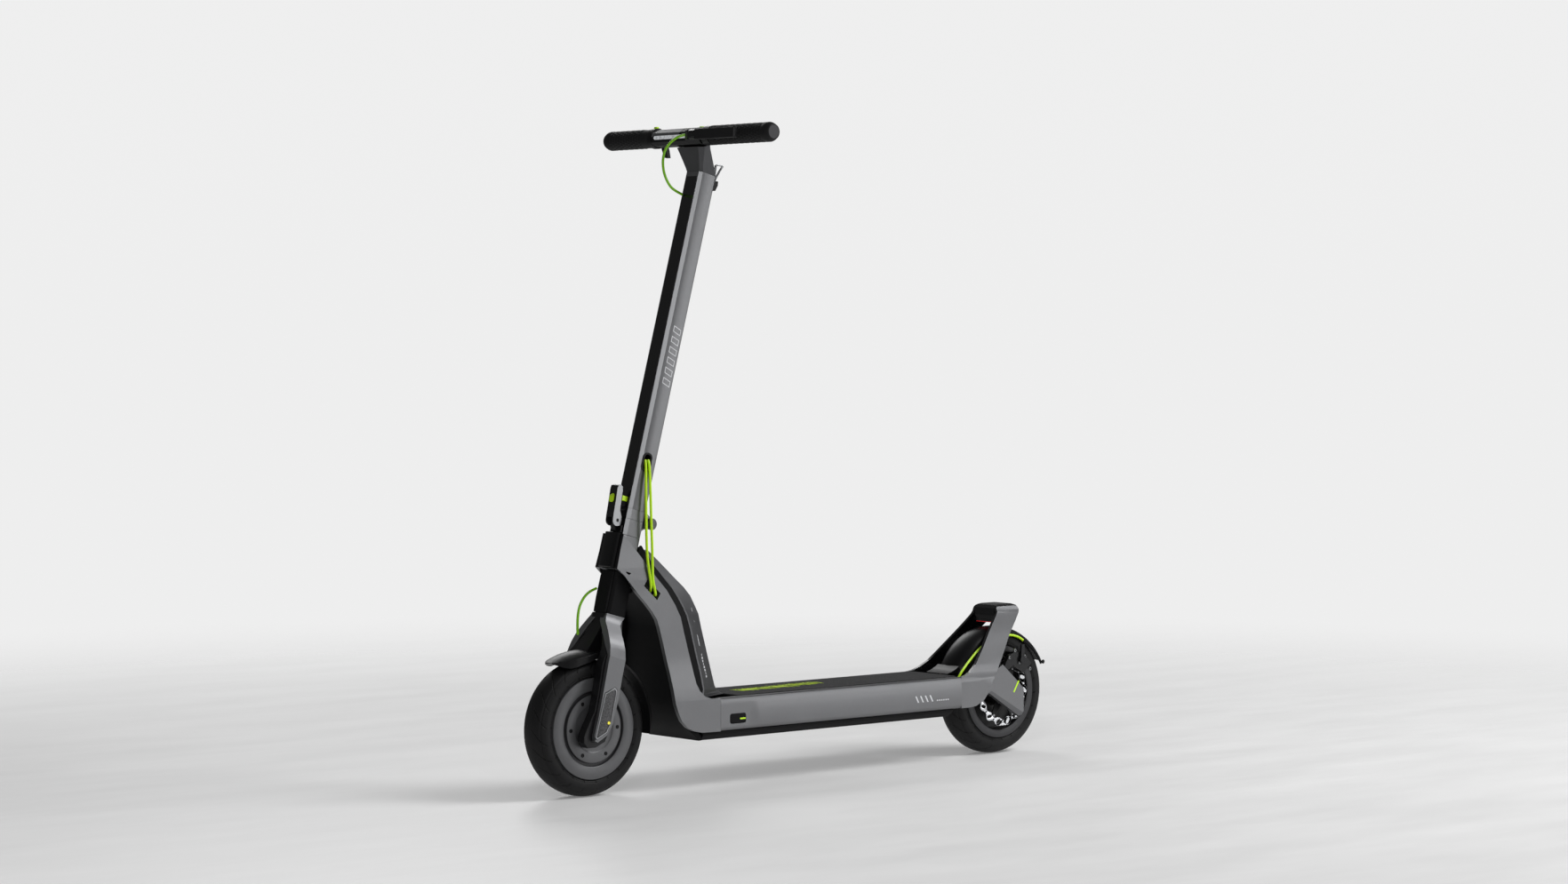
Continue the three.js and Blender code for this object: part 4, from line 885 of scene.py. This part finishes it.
def rear_fender():
    bm = bmesh.new()
    outline = [(y, r) for y, r in CROWN_HALF] + [(27.3, 97.4)]
    outline += [(max(0, y - SHEET * 0.85 * y / 29.4), r - SHEET + 0.9 * (y / 29.4) ** 3) for y,
                r in CROWN_HALF[-2::-1]]
    section = outline[:-1] + [(0, 112.9 - SHEET)] + [(-y, r) for y, r in outline[-2:0:-1]]
    rings, steps = [], 110
    for k in range(steps + 1):
        a = math.radians(21 + 135.5 * k / steps)
        lift = 8 * max(0, (k / steps - 0.52) / 0.48) ** 1.6
        rings.append([
            bm.verts.new(at(REAR_X + (r + lift) * math.cos(a), y, AXLE_Z + (r + lift) * math.sin(a))) for y,
            r in section
        ])
    for a, b in zip(rings, rings[1:]):
        for k in range(len(a)):
            j = (k + 1) % len(a)
            bm.faces.new((a[k], a[j], b[j], b[k]))
    bm.faces.new(list(reversed(rings[0])))
    bm.faces.new(rings[-1])
    foot = [(-318.5, 146.4), (-344, 146.4), (-350, 152), (-346.5, 158), (-340.5, 154), (-330, 149.4)]
    prism(bm, [at(x, -26, z) for x, z in foot], [at(x, 26, z) for x, z in foot])
    show("rear_fender_crowned", bm, ["black"], "frame", ["rear_fender"], SLOT_OF["rear_fender"], smooth=40)


rear_fender()


# ==== cables ====
CABLE_R = 2.1


def smooth_cable(name, points, body, cad, paint="neon_deep"):
    bm = bmesh.new()
    tube(bm, spline([at(*p) for p in points], 10), CABLE_R, 16, 0, True)
    return show(name, bm, [paint], body, [cad], SLOT_OF[cad], smooth=60)


smooth_cable("bar_cable_round", [
    (263, 31, 1047.2), (276, 20, 1042.5), (284, 8, 1032), (286, -2, 1019), (284.5, -8, 1001),
    (277.5, -11, 981),
    (263.5, -12, 963), (241.6, -12, 952.5),
], "stem", "bar_cable")
smooth_cable("motor_cable_round", [
    (417, -12, 325.6), (430, -12, 321), (441, -12, 313), (450, -12, 300), (454, -12, 285), (455, -12, 268),
    (454.6, -12, 254),
], "fork", "motor_cable")
smooth_cable("rear_cable_round", [
    (-322, 50, 141), (-331, 49, 151), (-352, 44, 166), (-385, 37, 186), (-420, 34, 200), (-455, 34.2, 206),
    (-475, 38, 203), (-486, 42.5, 196),
], "frame", "rear_cable", "neon")


def strand(name, points, cad):
    """A cable loop over the fold, cut in two: the upper half runs from stem to fork, the lower from fork to
    frame; both stay fixed in place.
    """
    path = spline([at(*p) for p in points], 10)
    middle = min(range(len(path)), key=lambda i: abs(path[i].z - 0.412))
    for part, (a, b), line in (("upper", ("stem", "fork"), path[: middle + 1]),
                               ("lower", ("fork", "frame"), path[middle:])):
        bm = bmesh.new()
        tube(bm, line, CABLE_R, 16, 0, True)
        piece = show(f"{name}_{part}", bm, ["neon"], None, [cad], SLOT_OF[cad], smooth=60)
        if part == "upper":
            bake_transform(piece)
        else:
            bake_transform(piece)


strand("strand_front_loop", [
    (342.4, 18.4, 528), (344.4, 22.5, 516), (347, 26, 490), (349, 28.8, 450), (349, 29.6, 412),
    (347.7, 30.2, 377),
    (345.8, 31.8, 355), (344.2, 33.2, 341), (343.4, 34.4, 329), (341, 30, 321), (339, 25, 317),
], "strand_front")
strand("strand_back_loop", [
    (336.4, 18.4, 528), (337, 22.5, 516), (337.6, 25.6, 480), (337.4, 27.6, 432), (336.8, 29.2, 390),
    (338, 31.6, 357), (338.6, 33.8, 338), (337, 36.4, 321), (334.4, 34.6, 314), (333, 29, 312.4),
], "strand_back")


# ==== small details ====
def steer_face(y, side=1):
    """Carries (f, s) outlines to the plane y in the steering frame."""
    f_dir = Vector((math.cos(LEAN), 0, math.sin(LEAN)))
    s_dir = Vector((-math.sin(LEAN), 0, math.cos(LEAN)))
    return Matrix.Translation(at(AXIS_X, y, AXLE_Z)) @ Matrix((f_dir, s_dir,
                                                               Vector((0, side, 0)))).transposed().to_4x4()


def side_face(y):
    return Matrix(((1, 0, 0, 0), (0, 0, 1, y * MM), (0, 1, 0, 0), (0, 0, 0, 1)))


INSERT = [(18, 55.4), (1, 67.8), (-4.8, 64), (-6.5, 12), (-1.4, -3.9), (15.4, -18.2), (19.1, -15.7)]
for side in ("left", "right"):
    sign = 1 if side == "left" else -1
    rim = sheet_plate([INSERT, inset(INSERT, 2.1)], 1.5, steer_face(54.35 * sign), 0.45)
    show(f"dropout_rim_{side}", rim, ["silver"], "fork", smooth=25)
    fill = sheet_plate([inset(INSERT, 2.3)], 1.0, steer_face(54.0 * sign), 0.2)
    show(f"dropout_insert_{side}", fill, ["crackle"], "fork", smooth=25)
    # The reflector dot's glow comes from its lens material and is painted light.
    bm = bmesh.new()
    lathe(bm, [(0, -0.4), (2.6, -0.4), (2.6, 0.5), (2.2, 0.9), (0, 1.0)], steered(-1.4, 54.4 * sign, 12),
          (0, sign, 0), 20,
          False)
    show(f"dropout_reflector_{side}", bm, ["amber_painted_glow"], "fork", smooth=40)


def rounded(x0, x1, y0, y1, r, count=6):
    out = []
    for cx, cy, a in ((x1 - r, y0 + r, -90), (x1 - r, y1 - r, 0), (x0 + r, y1 - r, 90),
                      (x0 + r, y0 + r, 180)):
        out += [(cx + r * math.cos(math.radians(a + 90 * k / count)),
                 cy + r * math.sin(math.radians(a + 90 * k / count)))
                for k in range(count + 1)]
    return out


grommet = sheet_plate([rounded(-5.2, 14, 414.2, 445.8, 8.6), rounded(-2, 10.8, 417.4, 442.6, 6)], 2.6,
                      steer_face(20.3), 0.7)
show("stem_grommet", grommet, ["rubber"], "stem", smooth=40)

# marks: plain bars and shapes, none of them lettering
rng = random.Random(7)


def deck_print():
    """A band of sharp overlapping shards on the mat."""
    bm = bmesh.new()
    x = 136.0
    while x > -56:
        share = (136 - x) / 192
        centre = 0 - 15 * share + rng.uniform(-3, 3)
        tall = rng.uniform(17, 24) * (1 - 0.35 * abs(share - 0.45))
        wide = rng.uniform(9, 15)
        lean = rng.uniform(-7, 7)
        shard = [(x, centre - tall), (x - wide * 0.35, centre - tall * 0.35 + lean * 0.3),
                 (x - wide, centre - tall * 0.5 + lean),
                 (x - wide * 0.7, centre + tall), (x - wide * 0.25, centre + tall * 0.4)]
        loops = [shard]
        if rng.random() < 0.55:
            loops.append(inset(shard, 2.2))
        join(bm, sheet_plate(loops, 0.3, Matrix.Translation(at(0, 0, 145.72))))
        x -= wide * rng.uniform(0.72, 0.95)
    show("deck_print", bm, ["print"], "frame", smooth=20)


deck_print()


def flat_mark(name, loops, place, material, body, depth=0.24):
    bm = bmesh.new()
    for group in loops:
        join(bm, sheet_plate(group, depth, place))
    show(name, bm, [material], body, smooth=20)


arm_mark = [(-449.3, 109.4), (-451.8, 108), (-460.4, 121.6), (-464, 126.6), (-462.6, 128.4), (-459.6, 126.8)]
for side, sign in (("left", 1), ("right", -1)):
    flat_mark(f"arm_mark_{side}", [[arm_mark]], side_face(55.66 * sign), "neon", "frame")
flat_mark("cap_mark", [[rounded(175.9, 188, 108.2, 110.6, 0.6, 3)]], side_face(70.96), "neon", "port_cap")
stem_marks = []
for k in range(6):
    s0 = 556 + 17 * k
    bar = [(-9, s0), (7, s0 + 4), (7, s0 + 14), (-9, s0 + 10)]
    stem_marks.append([bar, inset(bar, 1.3)])
for side, sign in (("left", 1), ("right", -1)):
    flat_mark(f"stem_marks_{side}", stem_marks, steer_face(20.7 * sign), "white_print", "stem")
rail_marks = [[[(-242 + 11 * k, 108), (-239 + 11 * k, 108), (-233 + 11 * k, 119),
                (-236 + 11 * k, 119)]] for k in range(4)]
rail_marks += [[rounded(-278 + 5 * k, -275.4 + 5 * k, 108, 110.4, 0.5, 2)] for k in range(6)]
for side, sign in (("left", 1), ("right", -1)):
    flat_mark(f"rail_marks_{side}", rail_marks, side_face(71.9 * sign), "white_print", "frame")

spine_mesh = bmesh.new()
spine_mesh.from_mesh(NODES["spine_cover"].data)
spine = BVHTree.FromBMesh(spine_mesh)
spine_mesh.free()


def laid_bar(bm, start, end, width):
    """A thin bar printed on the spine between two points near its skin."""
    a, _, _, _ = spine.find_nearest(start)
    b, normal, _, _ = spine.find_nearest(end)
    across = normal.cross(b - a).normalized() * width * MM / 2
    rise = normal * 0.12 * MM
    flat = [a - across, b - across, b + across, a + across]
    prism(bm, [p - rise for p in flat], [p + rise for p in flat])


for side, sign in (("left", 1), ("right", -1)):
    bm = bmesh.new()
    laid_bar(bm, at(253.5, 33.5 * sign, 290), at(246, 40 * sign, 228.5), 2.2)
    for k in range(8):
        z0 = 215 - 5 * k
        laid_bar(bm, at(244 - 0.6 * k, (41 + 0.25 * k) * sign, z0),
                 at(243.7 - 0.6 * k, (41.2 + 0.25 * k) * sign, z0 - 3.4),
                 5.6 if k % 3 else 2.6)
    show(f"spine_marks_{side}", bm, ["white_print"], "frame", smooth=20)

# brake caliper fittings
bm = bmesh.new()
for x, z, r in ((-462.3, 180.1, 3.4), (-448.7, 168, 3.2), (-486, 168, 3.4), (-499.1, 146, 3.4),
                (-473, 158, 2.6)):
    screw(bm, at(x, 45.6, z), (0, 1, 0), r, 2.2)
show("caliper_screws", bm, ["steel"], "frame", smooth=40)
bm = bmesh.new()
for sign in (1, -1):
    screw(bm, at(-549, 29.2 * sign, 154), (0, sign, 0), 3.6, 1.6)
show("fender_screws", bm, ["black"], "frame", smooth=40)

bm = bmesh.new()
for k in range(9):
    x0 = -19.4 + 4.4 * k
    prism(bm, [at(-437.4, x0, 228.2), at(-437.4, x0 + 3.6, 228.2), at(-437.4, x0 + 3.6, 230.2),
               at(-437.4, x0, 230.2)],
          [at(-433.4, x0, 228.2), at(-433.4, x0 + 3.6, 228.2), at(-433.4, x0 + 3.6, 230.2),
           at(-433.4, x0, 230.2)])
    prism(bm, [at(-443.4, x0, 229), at(-443.4, x0 + 3.6, 229), at(-442.4, x0 + 3.6, 232.6),
               at(-442.4, x0, 232.6)],
          [at(-440, x0, 229), at(-440, x0 + 3.6, 229), at(-440, x0 + 3.6, 232.6), at(-440, x0, 232.6)])
show("tail_light_cells", bm, ["red"], "frame", smooth=30)

# ==== stage ====
def make_stage():
    bm = bmesh.new()
    bmesh.ops.create_circle(bm, cap_ends=True, segments=96, radius=60)
    mesh = bpy.data.meshes.new("floor")
    bm.to_mesh(mesh)
    bm.free()
    made, tree, shader = new_material("pale_floor", 0.5, 0)
    place = node(tree, "TexCoord").outputs["Object"]
    drift = node(tree, "Mapping", Vector=place, Scale=(0.8, 3.2, 1), Rotation=(0, 0, 0.72))
    cloud = node(tree, "TexNoise", Vector=drift.outputs[0], Scale=2.6, Detail=7.0, Roughness=0.62)
    tree.links.new(mix(tree, ramp(tree, cloud.outputs[0], 0, 1), (0.74, 0.74, 0.74, 1),
                       (0.94, 0.94, 0.94, 1)),
                   shader.inputs["Base Color"])
    tree.links.new(ramp(tree, cloud.outputs[0], 0.3, 0.62), shader.inputs["Roughness"])
    reach = node(tree, "VectorMath", operation="LENGTH")
    tree.links.new(place, reach.inputs[0])
    shader.inputs["Emission Color"].default_value = (1, 1, 1, 1)
    shader.inputs["Emission Strength"].default_value = 0.13
    fade = node(tree, "MapRange", interpolation_type="SMOOTHSTEP")
    tree.links.new(reach.outputs["Value"], fade.inputs[0])
    fade.inputs[1].default_value, fade.inputs[2].default_value = 0.5, 3.4
    clear = node(tree, "BsdfTransparent")
    both = node(tree, "MixShader")
    tree.links.new(fade.outputs[0], both.inputs[0])
    tree.links.new(shader.outputs[0], both.inputs[1])
    tree.links.new(clear.outputs[0], both.inputs[2])
    tree.links.new(both.outputs[0], tree.nodes["Material Output"].inputs[0])
    mesh.materials.append(made)
    floor = bpy.data.objects.new("floor", mesh)
    bpy.context.scene.collection.objects.link(floor)
    world = bpy.data.worlds.new("studio")
    world.use_nodes = True
    tree = world.node_tree
    place = node(tree, "TexCoord").outputs["Generated"]
    height = node(tree, "SeparateXYZ", Vector=place).outputs["Z"]
    sky = mix(tree, ramp(tree, height, 0.2, 1), (0.84, 0.84, 0.84, 1), (0.92, 0.92, 0.92, 1))
    tree.links.new(sky, tree.nodes["Background"].inputs["Color"])
    soft = node(tree, "Background", Color=(1, 1, 1, 1), Strength=0.15)
    seen = node(tree, "LightPath").outputs["Is Camera Ray"]
    both = node(tree, "MixShader")
    tree.links.new(seen, both.inputs[0])
    tree.links.new(soft.outputs[0], both.inputs[1])
    tree.links.new(tree.nodes["Background"].outputs[0], both.inputs[2])
    tree.links.new(both.outputs[0], tree.nodes["World Output"].inputs[0])
    bpy.context.scene.world = world


make_camera()
make_stage()
bpy.context.scene.view_settings.view_transform = "Standard"
area_light("overhead", (-2.0, 1.8, 2.8), (0, 0, 0.3), 1.7, 84)
area_light("camera_side", (3.5, 3.5, 2.3), (0.1, 0, 0.6), 0.5, 38, 1.8)
area_light("rear_left", (-3.4, 3.7, 0.66), (-0.1, 0, 0.35), 2.0, 30, 1.1)
area_light("behind", (-1.4, -3.2, 2.4), (0, 0, 0.4), 1.6, 30)
